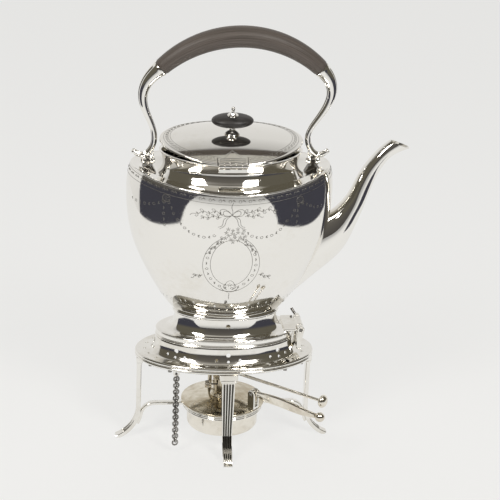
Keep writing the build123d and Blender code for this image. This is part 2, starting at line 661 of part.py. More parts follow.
def arm_block(side):
    """A curved bar from the end of the wood down to the scroll, thinner as it goes."""
    socket = grip_end(side)
    points = [socket.origin] + [Vector(side * x + arm_lean(z), 0, z) for z, x, _, _ in ARM]
    last = (points[-1] - points[-2]).normalized()
    path = Spline(*points, tangents=[socket.z_dir * side, last])
    sizes = [GRIP_END] + [(thick, width) for _, _, thick, width in ARM]
    sections = []
    for (thick, width), point in zip(sizes, points):
        tangent = path % path.param_at_point(point)
        plane = Plane(origin=point, x_dir=(0, 1, 0), z_dir=tangent)
        sections.append(plane * Ellipse(width / 2, thick / 2))
    return loft(sections)


TONGUE = (4.0, 6.0, 11.0)


def tongue(side, grow=0.0):
    """The end of the wood that sits in the arm's socket."""
    plane = grip_end(side)
    width, height, run = TONGUE
    shape = plane * Rectangle(width + 2 * grow, height + 2 * grow)
    return extrude(shape, run + grow, dir=plane.z_dir * side)


def bail_arm(side):
    arm = arm_block(side) - tongue(side, 0.05)
    swing_r = EAR_R + EAR_CLEAR
    for x, height in ((-1, 9.4), (1, 5.2)):
        cheek = Rot(0, 90, 0) * Cylinder(EAR_R, CHEEK_THICK)
        cheek += Pos(0, 0, height / 2) * Box(CHEEK_THICK, 1.5 * EAR_R, height)
        reach = PIVOT_X + x * (EAR_THICK / 2 + EAR_CLEAR + CHEEK_THICK / 2)
        arm += Pos(side * reach, 0, PIVOT_Z) * cheek
    at_pivot = Pos(side * PIVOT_X, 0, PIVOT_Z)
    arm -= at_pivot * Rot(0, 90, 0) * Cylinder(BAIL_PIN_R + PIN_CLEAR, 20)
    arm -= at_pivot * Rot(0, 90, 0) * Cylinder(swing_r, EAR_THICK + 2 * EAR_CLEAR)
    return arm - grip_pin(side)


def grip_plane(angle):
    """Section plane of the grip at an angle from +X, looking along the arch towards the spout."""
    origin = (GRIP_ARC_X + GRIP_ARC_R * cos(angle), 0, GRIP_ARC_Z + GRIP_ARC_R * sin(angle))
    return Plane(origin=origin, x_dir=(0, 1, 0), z_dir=(sin(angle), 0, -cos(angle)))


def grip_end(side):
    """Section plane at the end of the wood, where the metal begins."""
    return grip_plane(radians(90 - side * GRIP_HALF_ANGLE))


def grip_pin(side):
    plane = grip_end(side)
    centre = plane.origin + plane.z_dir * side * 5.0
    return Pos(centre.X, 0, centre.Z) * Rot(90, 0, 0) * Cylinder(1.2, GRIP_END[1] - 1.4)


def bail_grip():
    sections = []
    for share in (-1, -0.66, -0.33, 0, 0.33, 0.66, 1):
        plane = grip_plane(radians(90 - share * GRIP_HALF_ANGLE))
        blend = 1 - share ** 2
        height = GRIP_END[0] + (GRIP_MID[0] - GRIP_END[0]) * blend
        width = GRIP_END[1] + (GRIP_MID[1] - GRIP_END[1]) * blend
        sections.append(plane * Ellipse(width / 2, height / 2))
    grip = loft(sections)
    grip += tongue(1)
    grip += tongue(-1)
    return grip - grip_pin(1) - grip_pin(-1)


# --- lamp pieces -------------------------------------------------------------------------------
def saucer_z():
    return RING_Z + RING_HEIGHT + LAMP_SEAT


def lamp_reservoir():
    z, r, wall, top = RESERVOIR_Z, RESERVOIR_R, SHEET, saucer_z()
    return turned([(0, z), (r - 1.8, z), (r, z + 1.8), (r, top), (r - wall, top), (r - wall, z + 2.2),
                   (r - 2.2, z + wall), (0, z + wall)])


def cover_profile(lift=0.0):
    z = saucer_z()
    return [(SAUCER_R, z + SAUCER_THICK), (RESERVOIR_R, z + SAUCER_THICK + 0.8), (20.0, z + 3.4),
            (12.0, z + DOME_HEIGHT - 0.4), (0, z + DOME_HEIGHT)]


def lamp_cover():
    z = saucer_z()
    top = cover_profile()
    under = [(0, z + DOME_HEIGHT - SHEET), (12.0, z + DOME_HEIGHT - 0.4 - SHEET), (20.0, z + 3.4 - SHEET),
             (RESERVOIR_R - 1.5, z + 0.6), (RESERVOIR_R - 2.0, z), (SAUCER_R, z)]
    cover = turned(top + under)
    return cover - Pos(0, 0, z) * Cylinder(TUBE_R, 30)


def dome_at(radius):
    """Height of the lamp cover at a radius."""
    profile = cover_profile()
    for (r_out, z_out), (r_in, z_in) in zip(profile, profile[1:]):
        if r_in <= radius <= r_out:
            return z_out + (z_in - z_out) * (r_out - radius) / (r_out - r_in)
    return profile[-1][1]


def wick_tube():
    low = saucer_z() - 6
    tube = turned([(TUBE_R - SHEET, low), (TUBE_R, low), (TUBE_R, TUBE_TOP), (TUBE_R - SHEET, TUBE_TOP)])
    return tube - winder_rod(SPINDLE_R + PIN_CLEAR, -2 * TUBE_R, 2 * TUBE_R)


def burner_nut():
    base = dome_at(TUBE_R + 2)
    nut = turned([(TUBE_R, base - 2), (TUBE_R + 3.2, base - 2), (TUBE_R + 3.2, base + 2.2),
                  (TUBE_R + 1.6, base + 3.4), (TUBE_R, base + 3.4)])
    return nut - turned(cover_profile() + [(0, 0), (SAUCER_R, 0)])


WINDER_Z = 45.8
WHEEL_R = 0.95                # the toothed wheel that lifts the wick
WHEEL_GAP = 0.1
SPINDLE_R = 0.6
SPINDLE_ENDS = (-14.0, 6.4)
KNOB_R = 3.1
KNOB_LENGTH = 4.6
RIBS = 12
WICK_TRAVEL = 6.0


def winder_y():
    return -(WICK_R + WHEEL_R + WHEEL_GAP)


def winder_rod(radius, x_start, x_end):
    return rod((x_start, winder_y(), WINDER_Z), (x_end, winder_y(), WINDER_Z), radius)


def winder_spindle():
    return winder_rod(SPINDLE_R, *SPINDLE_ENDS) + winder_rod(WHEEL_R, -1.2, 1.2)


def winder_knob():
    """A ribbed knob on the spindle's outer end."""
    start = SPINDLE_ENDS[0] - 0.6
    knob = winder_rod(KNOB_R, start, start + KNOB_LENGTH)
    for i in range(RIBS):
        angle = 2 * pi * i / RIBS
        y, z = winder_y() + (KNOB_R + 0.1) * cos(angle), WINDER_Z + (KNOB_R + 0.1) * sin(angle)
        knob -= rod((start - 1, y, z), (start + KNOB_LENGTH + 1, y, z), 0.45)
    return knob - winder_rod(SPINDLE_R, *SPINDLE_ENDS)


def wick():
    """Lowered fully, its end stays clear of the reservoir's floor."""
    return rod((0, 0, RESERVOIR_Z + SHEET + WICK_TRAVEL + 0.6), (0, 0, TUBE_TOP - 0.4), WICK_R)


POST_REACH = 12.5             # from the wick's middle to the post that the snuffer turns on
POST_AZ = 140.0
POST_R = 1.6
POST_PIN_R = 0.9
LEVER_Z = 56.8
LEVER_R = 1.2
LEVER_END = (84.5, 51.8)      # reach and height of the lever's outer end
HUB_R = 2.6


def post_centre():
    turn = radians(POST_AZ)
    return Vector(POST_REACH * cos(turn), POST_REACH * sin(turn), 0)


def post_rod(low, high, radius):
    c = post_centre()
    return rod((c.X, c.Y, low), (c.X, c.Y, high), radius)


def snuffer_post():
    """A pillar on the lamp's cover, with a thinner pin and a cap that keeps the lever on."""
    hub_low, hub_high = LEVER_Z - LEVER_R, LEVER_Z + LEVER_R
    post = post_rod(dome_at(POST_REACH) - 2, hub_low - 0.3, POST_R)
    post += post_rod(hub_low - 0.3, hub_high + 0.3, POST_PIN_R) + post_rod(hub_high + 0.3, hub_high + 1.1, POST_R)
    return post - turned(cover_profile() + [(0, 0), (SAUCER_R, 0)])


def lever_line():
    """Where the rod starts on the hub, bends over the wick and ends in its knob."""
    turn = radians(LEVER_AZ)
    reach, height = LEVER_END
    start = post_centre() * (1 - (POST_PIN_R + 0.6) / POST_REACH) + Vector(0, 0, LEVER_Z)
    return start, Vector(0, 0, LEVER_Z), Vector(reach * cos(turn), reach * sin(turn), height)


def snuffer_lever():
    start, knee, end = lever_line()
    lever = post_rod(LEVER_Z - LEVER_R, LEVER_Z + LEVER_R, HUB_R)
    lever += rod(start, knee, LEVER_R) + Pos(knee.X, knee.Y, knee.Z) * Sphere(LEVER_R) + rod(knee, end, LEVER_R)
    return lever - post_rod(LEVER_Z - 4, LEVER_Z + 4, POST_PIN_R + PIN_CLEAR)


def snuffer_cap():
    low = TUBE_TOP + 0.35
    cap = turned([(0, low), (CAP_R, low), (CAP_R, low + 1.4), (CAP_R - 2, low + 3.2), (3.0, low + 4.6),
                  (0, low + 4.6)])
    start, knee, end = lever_line()
    neck = rod((0, 0, low + 4), (0, 0, LEVER_Z), 1.6)
    return cap + neck - rod(start, knee, LEVER_R) - rod(knee, end, LEVER_R) - Pos(0, 0, LEVER_Z) * Sphere(LEVER_R)


def snuffer_knob():
    """A flattened button on the lever's end."""
    start, knee, end = lever_line()
    plane = Plane(origin=end, z_dir=end - knee)
    outline = [Line((0, 0, -1.6), (1.8, 0, -1.4)),
               Spline((1.8, 0, -1.4), (4.6, 0, 0.4), (5.2, 0, 2.2), (4.2, 0, 4.2), (0, 0, 5.6), tangents=((1, 0, 0), (-1, 0, 0))),
               Line((0, 0, 5.6), (0, 0, -1.6))]
    return plane.location * revolve(make_face(outline), Axis.Z) - rod(knee, end, LEVER_R)


BRACKET_R = 30.2
FOLD_Z = 45.0


def on_handle(part):
    """Turn a piece built along +X to the handle's direction."""
    return Rot(0, 0, HANDLE_AZ) * part


def handle_bracket():
    """A clevis on the saucer's edge: two ears with the pin through them."""
    ears = None
    for side in (-1, 1):
        y = side * 2.7
        foot = saucer_z() + SAUCER_THICK - 0.2
        ear = Pos(BRACKET_R - 1.0, y, (foot + FOLD_Z) / 2) * Box(6.0, 1.6, FOLD_Z - foot)
        ear += Pos(BRACKET_R - 1.0, y, FOLD_Z) * Rot(90, 0, 0) * Cylinder(3.0, 1.6)
        ears = ear if ears is None else ears + ear
    foot = saucer_z() + SAUCER_THICK
    ears += Pos(BRACKET_R - 1.0, 0, foot + 1.0) * Box(6.0, 7.0, 2.4)
    ears -= Pos(BRACKET_R - 1.0, 0, FOLD_Z) * Rot(90, 0, 0) * Cylinder(1.0, 12)
    return on_handle(ears) - turned(cover_profile() + [(0, 0), (SAUCER_R, 0)])


def handle_pin():
    pin = Pos(BRACKET_R - 1.0, 0, FOLD_Z) * Rot(90, 0, 0) * Cylinder(1.0, 8.6)
    return on_handle(pin)


def lamp_handle():
    """A flat leaf-shaped bar: an eye at the clevis, a swelling and a neck for the ball."""
    x0, z0 = BRACKET_R - 1.0, FOLD_Z
    upper = Spline((x0 + 2.0, 0, z0 + 1.9), (x0 + 9, 0, z0 + 2.6), (x0 + 28, 0, z0 + 3.2), (x0 + 50, 0, z0 + 1.0),
                   (x0 + 57.6, 0, z0 + 0.4))
    lower = Spline((x0 + 57.6, 0, z0 - 3.0), (x0 + 46, 0, z0 - 4.6), (x0 + 24, 0, z0 - 4.2), (x0 + 9, 0, z0 - 3.6),
                   (x0 + 2.0, 0, z0 - 1.9))
    outline = [upper, Line(upper @ 1, lower @ 0), lower, Line(lower @ 1, upper @ 0)]
    bar = extrude(make_face(outline), 1.3, dir=(0, 1, 0), both=True)
    bar += Pos(x0, 0, z0) * Rot(90, 0, 0) * Cylinder(2.8, 2.6)
    bar -= Pos(x0, 0, z0) * Rot(90, 0, 0) * Cylinder(1.0 + PIN_CLEAR, 12)
    return on_handle(bar)


def handle_ball():
    x0, z0 = BRACKET_R - 1.0, FOLD_Z
    ball = Pos(x0 + 61.2, 0, z0 - 1.3) * Sphere(3.7)
    return on_handle(ball) - lamp_handle()


# --- chain -------------------------------------------------------------------------------------
CHAIN_XY = (-38.9, -30.0)
LINK_R = 2.0
LINK_WIRE = 1.2
LINK_SIDES = 10
LINKS = 22
LINK_GAP = 0.25


STAPLE_R = 2.6
STAPLE_WIRE = 1.2


def chain_staple():
    """A ring under the rim that the first link hangs in."""
    x, y = CHAIN_XY
    ring = Rot(90, 0, 0) * (Cylinder(STAPLE_R, STAPLE_WIRE) - Cylinder(STAPLE_R - STAPLE_WIRE, STAPLE_WIRE))
    ring += Pos(0, 0, STAPLE_R) * Cylinder(STAPLE_WIRE, 2 * STAPLE_WIRE)
    return Pos(x, y, staple_z()) * (ring & Pos(0, 0, -STAPLE_WIRE / 2) * Box(20, 20, 2 * (STAPLE_R + STAPLE_WIRE / 2)))


def staple_z():
    return PLATE_UNDERSIDE - STAPLE_R


def chain_pitch():
    return 2 * LINK_R - LINK_WIRE - 0.1


def chain_links():
    """Interlocked round links, each turned a quarter from the last."""
    x, y = CHAIN_XY
    top = staple_z() - STAPLE_R + STAPLE_WIRE + LINK_GAP + LINK_WIRE / 2
    outline = RegularPolygon(LINK_R + LINK_WIRE / 2, LINK_SIDES) - RegularPolygon(LINK_R - LINK_WIRE / 2, LINK_SIDES)
    ring = Rot(0, 90, 0) * extrude(outline, LINK_WIRE / 2, both=True)
    links = []
    for i in range(LINKS):
        links.append(Pos(x, y, top - LINK_R - i * chain_pitch()) * Rot(0, 0, 90 * (i % 2)) * ring)
    return links


def main():
    side_at = PLATE_HALF_LENGTH - LEG_SIDE_INSET
    front_at = PLATE_HALF_DEPTH - LEG_FRONT_INSET
    nodes = {
        "gallery_plate": gallery_plate(), "plate_rim": plate_rim(), "lamp_ring": lamp_ring(),
        "pour_bracket": pour_bracket(), "pour_pin": pour_pin(), "chain_staple": chain_staple(),
        "rim_screws": rim_screws(),
        "kettle_body": kettle_body(), "shoulder_collar": shoulder_collar(), "kettle_foot": kettle_foot(),
        "foot_bead": foot_bead(), "spout": spout(), "pour_knuckle": pour_knuckle(),
        "bail_lug_left": bail_lug(-1), "bail_lug_right": bail_lug(1),
        "bail_pins": [bail_pin(-1), bail_pin(1)],
        "lid_hinge_leaf": lid_hinge_leaf(), "lid_hinge_pin": hinge_rod(0, HINGE_WIDTH, HINGE_PIN_R),
        "lid_dome": ajar(lid_dome()), "lid_hinge_plate": ajar(lid_hinge_plate()),
        "finial_base": ajar(finial_base()), "finial_disc": ajar(finial_disc()), "finial_nut": ajar(finial_nut()),
        "finial_stud": ajar(finial_stud()), "lid_washer": ajar(lid_washer()),
        "bail_arm_left": bail_arm(-1), "bail_arm_right": bail_arm(1), "bail_grip": bail_grip(),
        "grip_pins": [grip_pin(-1), grip_pin(1)],
        "lamp_reservoir": lamp_reservoir(), "lamp_cover": lamp_cover(), "wick_tube": wick_tube(),
        "burner_nut": burner_nut(), "wick": wick(), "winder_spindle": winder_spindle(),
        "winder_knob": winder_knob(), "snuffer_post": snuffer_post(), "snuffer_lever": snuffer_lever(),
        "snuffer_cap": snuffer_cap(), "snuffer_knob": snuffer_knob(), "handle_bracket": handle_bracket(),
        "handle_pin": handle_pin(), "lamp_handle": lamp_handle(), "handle_ball": handle_ball(),
        "chain_links": chain_links(),
    }
    for name in ("front", "back", "left", "right"):
        nodes["leg_" + name] = placed_leg(name)
    for name, turn in (("right", 0), ("back", 90), ("left", 180), ("front", 270)):
        on_side = name in ("right", "left")
        nodes["stretcher_" + name] = stretcher(turn, side_at if on_side else front_at,
                                               SIDE_BEND_R if on_side else FRONT_BEND_R)

    solids = {}
    for name, shape in nodes.items():
        shapes = shape if isinstance(shape, list) else [shape]
        solids[name] = [solid for one in shapes for solid in one.solids()]
    box = Compound([s for group in solids.values() for s in group]).bounding_box()
    shift = Vector(-(box.min.X + box.max.X) / 2, -(box.min.Y + box.max.Y) / 2, -box.min.Z)
    print("size", [round(v, 2) for v in box.size], "axis moved by", [round(v, 3) for v in shift])
    os.makedirs("parts", exist_ok=True)
    for name, group in solids.items():
        moved = [Pos(shift.X, shift.Y, shift.Z) * s for s in group]
        export_step(moved[0] if len(moved) == 1 else Compound(moved), f"parts/{name}.step")
        print(name, len(moved), round(sum(s.volume for s in moved), 1))


main()
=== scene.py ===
# %% [markdown]
# # A spirit kettle on its stand
# An oval silver kettle with a hinged lid, a swing bail with a wooden grip and a swan-neck spout. It tilts on a
# four-legged stand, over a spirit lamp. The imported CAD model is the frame: every piece made here sits in the same
# place as its CAD node, and rides on the same body. Polished silver shows every facet, so the large curved pieces
# are made again here with fine smooth meshes, and the small plain ones keep their CAD shape.

# %% Load the frame
import bpy
import bmesh
import json
import numpy as np
from math import asin, atan2, cos, degrees, exp, hypot, pi, radians, sin, sqrt
from mathutils import Matrix, Vector
from mathutils.bvhtree import BVHTree
from mathutils.kdtree import KDTree


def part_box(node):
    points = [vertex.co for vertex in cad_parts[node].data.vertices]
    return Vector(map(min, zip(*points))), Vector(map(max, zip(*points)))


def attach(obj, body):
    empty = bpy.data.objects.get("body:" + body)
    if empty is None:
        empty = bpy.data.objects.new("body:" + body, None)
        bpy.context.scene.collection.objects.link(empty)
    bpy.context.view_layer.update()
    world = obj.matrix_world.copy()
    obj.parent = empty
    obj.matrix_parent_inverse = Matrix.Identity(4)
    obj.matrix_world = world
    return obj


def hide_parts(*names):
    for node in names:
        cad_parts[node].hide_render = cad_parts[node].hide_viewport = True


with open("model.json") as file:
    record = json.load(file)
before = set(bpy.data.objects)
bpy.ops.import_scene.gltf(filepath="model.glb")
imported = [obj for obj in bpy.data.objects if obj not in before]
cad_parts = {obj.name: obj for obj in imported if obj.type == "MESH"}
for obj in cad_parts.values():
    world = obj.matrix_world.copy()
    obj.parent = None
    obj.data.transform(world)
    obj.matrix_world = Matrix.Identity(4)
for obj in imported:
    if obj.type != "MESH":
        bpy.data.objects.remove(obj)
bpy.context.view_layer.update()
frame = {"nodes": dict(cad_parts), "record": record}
NODES = frame["nodes"]
BODY_OF = {node: body for body, nodes in frame["record"]["behaviour"]["bodies"].items() for node in nodes}

# %% [markdown]
# ## One drawing frame
# The kettle is drawn in millimetres about its own upright axis, with the floor at zero, as in the CAD source.
# The lamp ring is centred on that axis, so its box gives the shift to the frame's origin.

# %% Millimetres about the kettle's axis
ring_low, ring_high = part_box("lamp_ring")
SHIFT = np.array([(ring_low[0] + ring_high[0]) / 2, (ring_low[1] + ring_high[1]) / 2, 0.0])


def to_frame(points):
    return np.asarray(points, float) * 0.001 + SHIFT


def new_object(name, data):
    thing = bpy.data.objects.new(name, data)
    bpy.context.scene.collection.objects.link(thing)
    return thing


print("axis at", [round(1000 * v, 2) for v in SHIFT])

# %% [markdown]
# ## Camera
# The camera is a long lens 1.3 m away, a little to the left and 21 degrees above the level, turned 2.3 degrees
# about its own line of sight. These values were fitted to the oval rims, the legs and the lamp.

# %% Camera
LENS_PIXELS, FRAME_PIXELS = 1717.13, 500
TURN, TILT, ROLL = radians(7.19), radians(21.25), radians(2.28)
CAMERA_AT = (-134.779, -1204.211, 627.679)
sight = Vector((sin(TURN) * cos(TILT), cos(TURN) * cos(TILT), -sin(TILT)))
level = Vector((cos(TURN), -sin(TURN), 0))
upright = Vector((sin(TURN) * sin(TILT), cos(TURN) * sin(TILT), cos(TILT)))
camera_x = level * cos(ROLL) + upright * sin(ROLL)
camera_y = upright * cos(ROLL) - level * sin(ROLL)
camera = new_object("camera", bpy.data.cameras.new("camera"))
camera.data.sensor_width = 36
camera.data.lens = 36 * LENS_PIXELS / FRAME_PIXELS
camera.matrix_world = Matrix.Translation(Vector(to_frame(CAMERA_AT))) @ Matrix(
    (camera_x, camera_y, -sight)).transposed().to_4x4()
bpy.context.scene.camera = camera
print("lens", round(camera.data.lens, 1), "mm")

# %% [markdown]
# ## Finishes
# Silver is a mirror first, so what tells it from chrome is small: a warm tint, cloudy patches of tarnish, wiped
# streaks, and hairline scratches that spread each highlight. Two shader groups hold those effects. They give out
# only masks and heights, and each material mixes them in its own amounts.

# %% Node helpers
def feed(tree, node, inputs):
    """Gives a node's inputs their values, or links them to the sockets or nodes that feed them."""
    for label, value in inputs.items():
        if isinstance(value, bpy.types.Node):
            value = next(socket for socket in value.outputs if socket.enabled)
        if isinstance(value, bpy.types.NodeSocket):
            tree.links.new(value, node.inputs[label])
        else:
            node.inputs[label].default_value = value
    return node


def add(tree, kind, inputs=None, **settings):
    node = tree.nodes.new(kind)
    for name, value in settings.items():
        setattr(node, name, value)
    return feed(tree, node, inputs or {})


def math(tree, operation, *values):
    return add(tree, "ShaderNodeMath", dict(enumerate(values)), operation=operation).outputs[0]


def mix(tree, factor, first, second, **settings):
    colours = {"Factor": factor, "A": first, "B": second}
    return add(tree, "ShaderNodeMix", colours, data_type="RGBA", **settings).outputs["Result"]


def object_place(tree):
    return add(tree, "ShaderNodeTexCoord").outputs["Object"]


def noise(tree, source, scale, detail, stretch=None):
    """A noise that is stretched along an axis where the real marks run that way."""
    if stretch:
        source = add(tree, "ShaderNodeMapping", {"Vector": source, "Scale": stretch})
    return add(tree, "ShaderNodeTexNoise", {"Vector": source, "Scale": scale, "Detail": detail}).outputs["Fac"]


def stepped(tree, source, low, high, out_low=0.0, out_high=1.0):
    """A smooth step from one level to another while the source goes from low to high."""
    levels = {"Value": source, "From Min": low, "From Max": high, "To Min": out_low, "To Max": out_high}
    return add(tree, "ShaderNodeMapRange", levels, interpolation_type="SMOOTHSTEP").outputs["Result"]


def ramp(tree, source, stops):
    """A colour ramp through (position, colour) stops."""
    node = add(tree, "ShaderNodeValToRGB", {"Fac": source})
    elements = node.color_ramp.elements
    while len(elements) < len(stops):
        elements.new(1.0)
    for element, (position, colour) in zip(elements, stops):
        element.position, element.color = position, (*colour, 1)
    return node.outputs["Color"]


def group(kind, name, inputs, outputs):
    """A node group from {input: (type, default)} and {output: type}; also its inputs' sockets and its end node."""
    tree = bpy.data.node_groups.new(name, kind)
    for label, (socket_type, default) in inputs.items():
        socket = tree.interface.new_socket(name=label, in_out="INPUT", socket_type="NodeSocket" + socket_type)
        if default is not None:
            socket.default_value = default
    for label, socket_type in outputs.items():
        tree.interface.new_socket(name=label, in_out="OUTPUT", socket_type="NodeSocket" + socket_type)
    return tree, add(tree, "NodeGroupInput").outputs, add(tree, "NodeGroupOutput")

# %% The two shared effects
tarnish_group, given, result = group("ShaderNodeTree", "tarnish", {"Cover": ("Float", 0.5), "Depth": ("Float", 1.0)},
                                     {"Mask": "Float"})
place = object_place(tarnish_group)
clouds, specks = noise(tarnish_group, place, 26, 5), noise(tarnish_group, place, 240, 3)
spotted = math(tarnish_group, "MULTIPLY_ADD", specks, 0.35, clouds)
mask = stepped(tarnish_group, math(tarnish_group, "SUBTRACT", spotted, given["Cover"]), 0.0, 0.34)
feed(tarnish_group, result, {"Mask": math(tarnish_group, "MULTIPLY", mask, given["Depth"])})

hairline_group, given, result = group("ShaderNodeTree", "hairlines", {"Strength": ("Float", 1.0)},
                                      {"Height": "Float", "Smear": "Float"})
place = object_place(hairline_group)
scratches = 0.0
for stretch in ((1.0, 1.0, 22.0), (20.0, 1.5, 2.0), (3.0, 18.0, 1.0)):
    lines = stepped(hairline_group, noise(hairline_group, place, 90, 2, stretch), 0.62, 0.72)
    scratches = math(hairline_group, "ADD", scratches, lines)
wiped = stepped(hairline_group, noise(hairline_group, place, 14, 4, (1.0, 1.0, 3.0)), 0.35, 0.75)
feed(hairline_group, result, {"Height": math(hairline_group, "MULTIPLY", scratches, given["Strength"]),
                              "Smear": math(hairline_group, "MULTIPLY", wiped, given["Strength"])})
print("groups", [g.name for g in bpy.data.node_groups])

# %% [markdown]
# ## Metals
# One function makes every metal: it mixes the clean colour with the tarnish colour by the mask, darkens the
# grooves with grime and painted shade, roughens the wiped patches, and lets the hairlines into the normal. Silver,
# heat-browned silver, the dark steel of the chain and the dark lines of the engraving and of the painted shadow by
# the hinge leaf differ only in the values.

# %% Metals
# Grime and painted shade in grooves: the dark colour that flutes and reeds take where "recess" is high.
GROOVE_GRIME_AND_SHADE = (0.085, 0.080, 0.070, 1)
HAIRLINE, MARK_DEPTH, TARNISH_ROUGHENS = 0.02, 0.0002, 0.06


def new_material(name):
    material = bpy.data.materials.new(name)
    material.use_nodes = True
    return material, material.node_tree, material.node_tree.nodes["Principled BSDF"]


def metal(name, clean, dulled, roughness, smear=0.06, cover=0.62, depth=0.8):
    """Clean and dulled colours, darker where a piece's "recess" attribute is high: grime that polishing never
    reaches, and painted shade in the grooves.
    """
    material, tree, shader = new_material(name)
    tarnish = add(tree, "ShaderNodeGroup", node_tree=tarnish_group)
    feed(tree, tarnish, {"Cover": cover, "Depth": depth})
    hairlines = add(tree, "ShaderNodeGroup", node_tree=hairline_group)
    colour = mix(tree, tarnish, (*clean, 1), (*dulled, 1))
    grooves = add(tree, "ShaderNodeAttribute", attribute_name="recess").outputs["Fac"]
    rough = math(tree, "MULTIPLY_ADD", hairlines.outputs["Smear"], smear, roughness)
    bump = add(tree, "ShaderNodeBump", {"Strength": HAIRLINE, "Distance": MARK_DEPTH,
                                        "Height": hairlines.outputs["Height"]})
    # Painted shade: the base colour goes to the dark groove colour where "recess" is high, for the shade deep in
    # flutes and reeds as well as grime.
    feed(tree, shader, {"Metallic": 1.0, "Base Color": mix(tree, grooves, colour, GROOVE_GRIME_AND_SHADE), "Normal": bump,
                        "Roughness": math(tree, "MULTIPLY_ADD", tarnish.outputs["Mask"], TARNISH_ROUGHENS, rough)})
    return material


SILVER = metal("polished silver", (0.90, 0.885, 0.85), (0.80, 0.765, 0.69), 0.035, smear=0.03, cover=0.66, depth=0.5)
STAND_SILVER = metal("stand silver", (0.88, 0.865, 0.825), (0.70, 0.66, 0.58), 0.05, smear=0.05, cover=0.60,
                     depth=0.6)
LAMP_SILVER = metal("warm lamp silver", (0.86, 0.82, 0.74), (0.60, 0.53, 0.42), 0.10, cover=0.56)
BROWNED = metal("heat-browned silver", (0.80, 0.75, 0.64), (0.44, 0.37, 0.25), 0.08, cover=0.47, depth=0.9)
STEEL = metal("dark steel", (0.46, 0.45, 0.43), (0.15, 0.14, 0.13), 0.22, cover=0.48)
AGED_SILVER = metal("aged silver casting", (0.42, 0.405, 0.38), (0.14, 0.13, 0.115), 0.16, cover=0.38, depth=0.95)
BRASS = metal("dull brass", (0.66, 0.58, 0.42), (0.40, 0.34, 0.24), 0.3, cover=0.5)
# The engraving's dark line; it also draws the painted shadow line round the lid's hinge leaf.
CUT_AND_SHADOW_LINE = metal("engraved line", (0.34, 0.33, 0.31), (0.20, 0.19, 0.17), 0.45, cover=0.5)

# %% [markdown]
# ## Wood, ebony and cotton
# The grip is dark wood that has gone grey with handling: long fibres that run with the arch, darker pores, and a
# thin worn polish. The finial is turned ebony, nearly black and finer. The wick is loose cotton cord.

# %% Wood and cotton
def wood(name, dark, light, roughness, pores, fibres_in_uv):
    """Fibres along an axis of the piece's UV map or of the object, with darker pores, under a thin worn polish."""
    material, tree, shader = new_material(name)
    if fibres_in_uv:
        place, size, stretch = add(tree, "ShaderNodeUVMap").outputs["UV"], 1.0, (60.0, 1.6, 1.0)
    else:
        place, size, stretch = object_place(tree), 260.0, (0.25, 1.0, 1.0)
    grain = noise(tree, place, size * 2.0, 6, stretch)
    pore = stepped(tree, noise(tree, place, size * 7.0, 2, stretch), 0.60, 0.70)
    colour = mix(tree, math(tree, "MULTIPLY", pore, pores), ramp(tree, grain, [(0.34, dark), (0.68, light)]),
                 (0.35, 0.30, 0.27, 1), blend_type="MULTIPLY")
    bump = add(tree, "ShaderNodeBump", {"Strength": 0.25, "Distance": MARK_DEPTH,
                                        "Height": math(tree, "SUBTRACT", grain, pore)})
    feed(tree, shader, {"Base Color": colour, "Roughness": math(tree, "MULTIPLY_ADD", grain, 0.18, roughness),
                        "Normal": bump, "Coat Weight": 0.15, "Coat Roughness": 0.35})
    return material


GRIP_WOOD = wood("greyed grip wood", (0.060, 0.048, 0.040), (0.155, 0.128, 0.110), 0.42, 0.4, True)
EBONY = wood("ebony", (0.018, 0.016, 0.016), (0.050, 0.044, 0.042), 0.34, 0.3, False)

COTTON, tree, shader = new_material("cotton wick")
strands = add(tree, "ShaderNodeTexWave", {"Scale": 420, "Vector": object_place(tree)}, wave_type="BANDS",
              bands_direction="DIAGONAL")
cotton_colour = ramp(tree, strands.outputs["Fac"], [(0.0, (0.42, 0.38, 0.30)), (1.0, (0.80, 0.76, 0.66))])
feed(tree, shader, {"Base Color": cotton_colour, "Roughness": 0.9})
print("materials", len(bpy.data.materials))

# %% [markdown]
# ## Making pieces
# Nearly every piece is a skin over a row of closed rings, like a potter's coil pot. A turned piece has round
# rings, the stand and kettle have oval ones, and a leg or an arm has its own section carried along a path. The
# helper turns such points into a mesh, shades it smooth with sharp corners kept, and ties it to its body.

# %% Skin over rings
def skin(rings, closed=False, caps=True):
    """Points and faces over rings of equal length. A closed row joins its last ring to its first."""
    count, size = len(rings), len(rings[0])
    points = np.concatenate([np.asarray(ring, float) for ring in rings])
    faces = []
    for i in range(count if closed else count - 1):
        a, b = i * size, ((i + 1) % count) * size
        for k in range(size):
            n = (k + 1) % size
            faces.append((a + k, a + n, b + n, b + k))
    if caps and not closed:
        faces.append(tuple(range(size - 1, -1, -1)))
        faces.append(tuple((count - 1) * size + k for k in range(size)))
    return points, faces


def join(*parts):
    points, faces, start = [], [], 0
    for more, more_faces in parts:
        points.append(np.asarray(more, float))
        faces += [tuple(v + start for v in face) for face in more_faces]
        start += len(more)
    return np.concatenate(points), faces


def mesh_object(name, shape, finish, crease=38):
    """A mesh from points and faces in millimetres, merged, shaded smooth, with its corners kept sharp."""
    points, faces = shape
    mesh = bpy.data.meshes.new(name)
    mesh.from_pydata([tuple(p) for p in to_frame(points)], [], faces)
    soup = bmesh.new()
    soup.from_mesh(mesh)
    bmesh.ops.remove_doubles(soup, verts=soup.verts, dist=2e-6)
    bmesh.ops.dissolve_degenerate(soup, edges=soup.edges, dist=1e-6)
    bmesh.ops.recalc_face_normals(soup, faces=soup.faces)
    soup.to_mesh(mesh)
    soup.free()
    mesh.shade_smooth()
    mesh.set_sharp_from_angle(angle=radians(crease))
    mesh.materials.append(finish)
    return new_object(name, mesh)


def settle(thing, stands_for=(), body=None):
    """Ties a finished piece to the body of the CAD node that it stands for."""
    stands_for = (stands_for,) if isinstance(stands_for, str) else tuple(stands_for)
    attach(thing, body or BODY_OF[stands_for[0]])
    if stands_for:
        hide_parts(*stands_for)
    return thing


def piece(name, shape, finish, stands_for=(), body=None, crease=38):
    return settle(mesh_object(name, shape, finish, crease), stands_for, body)


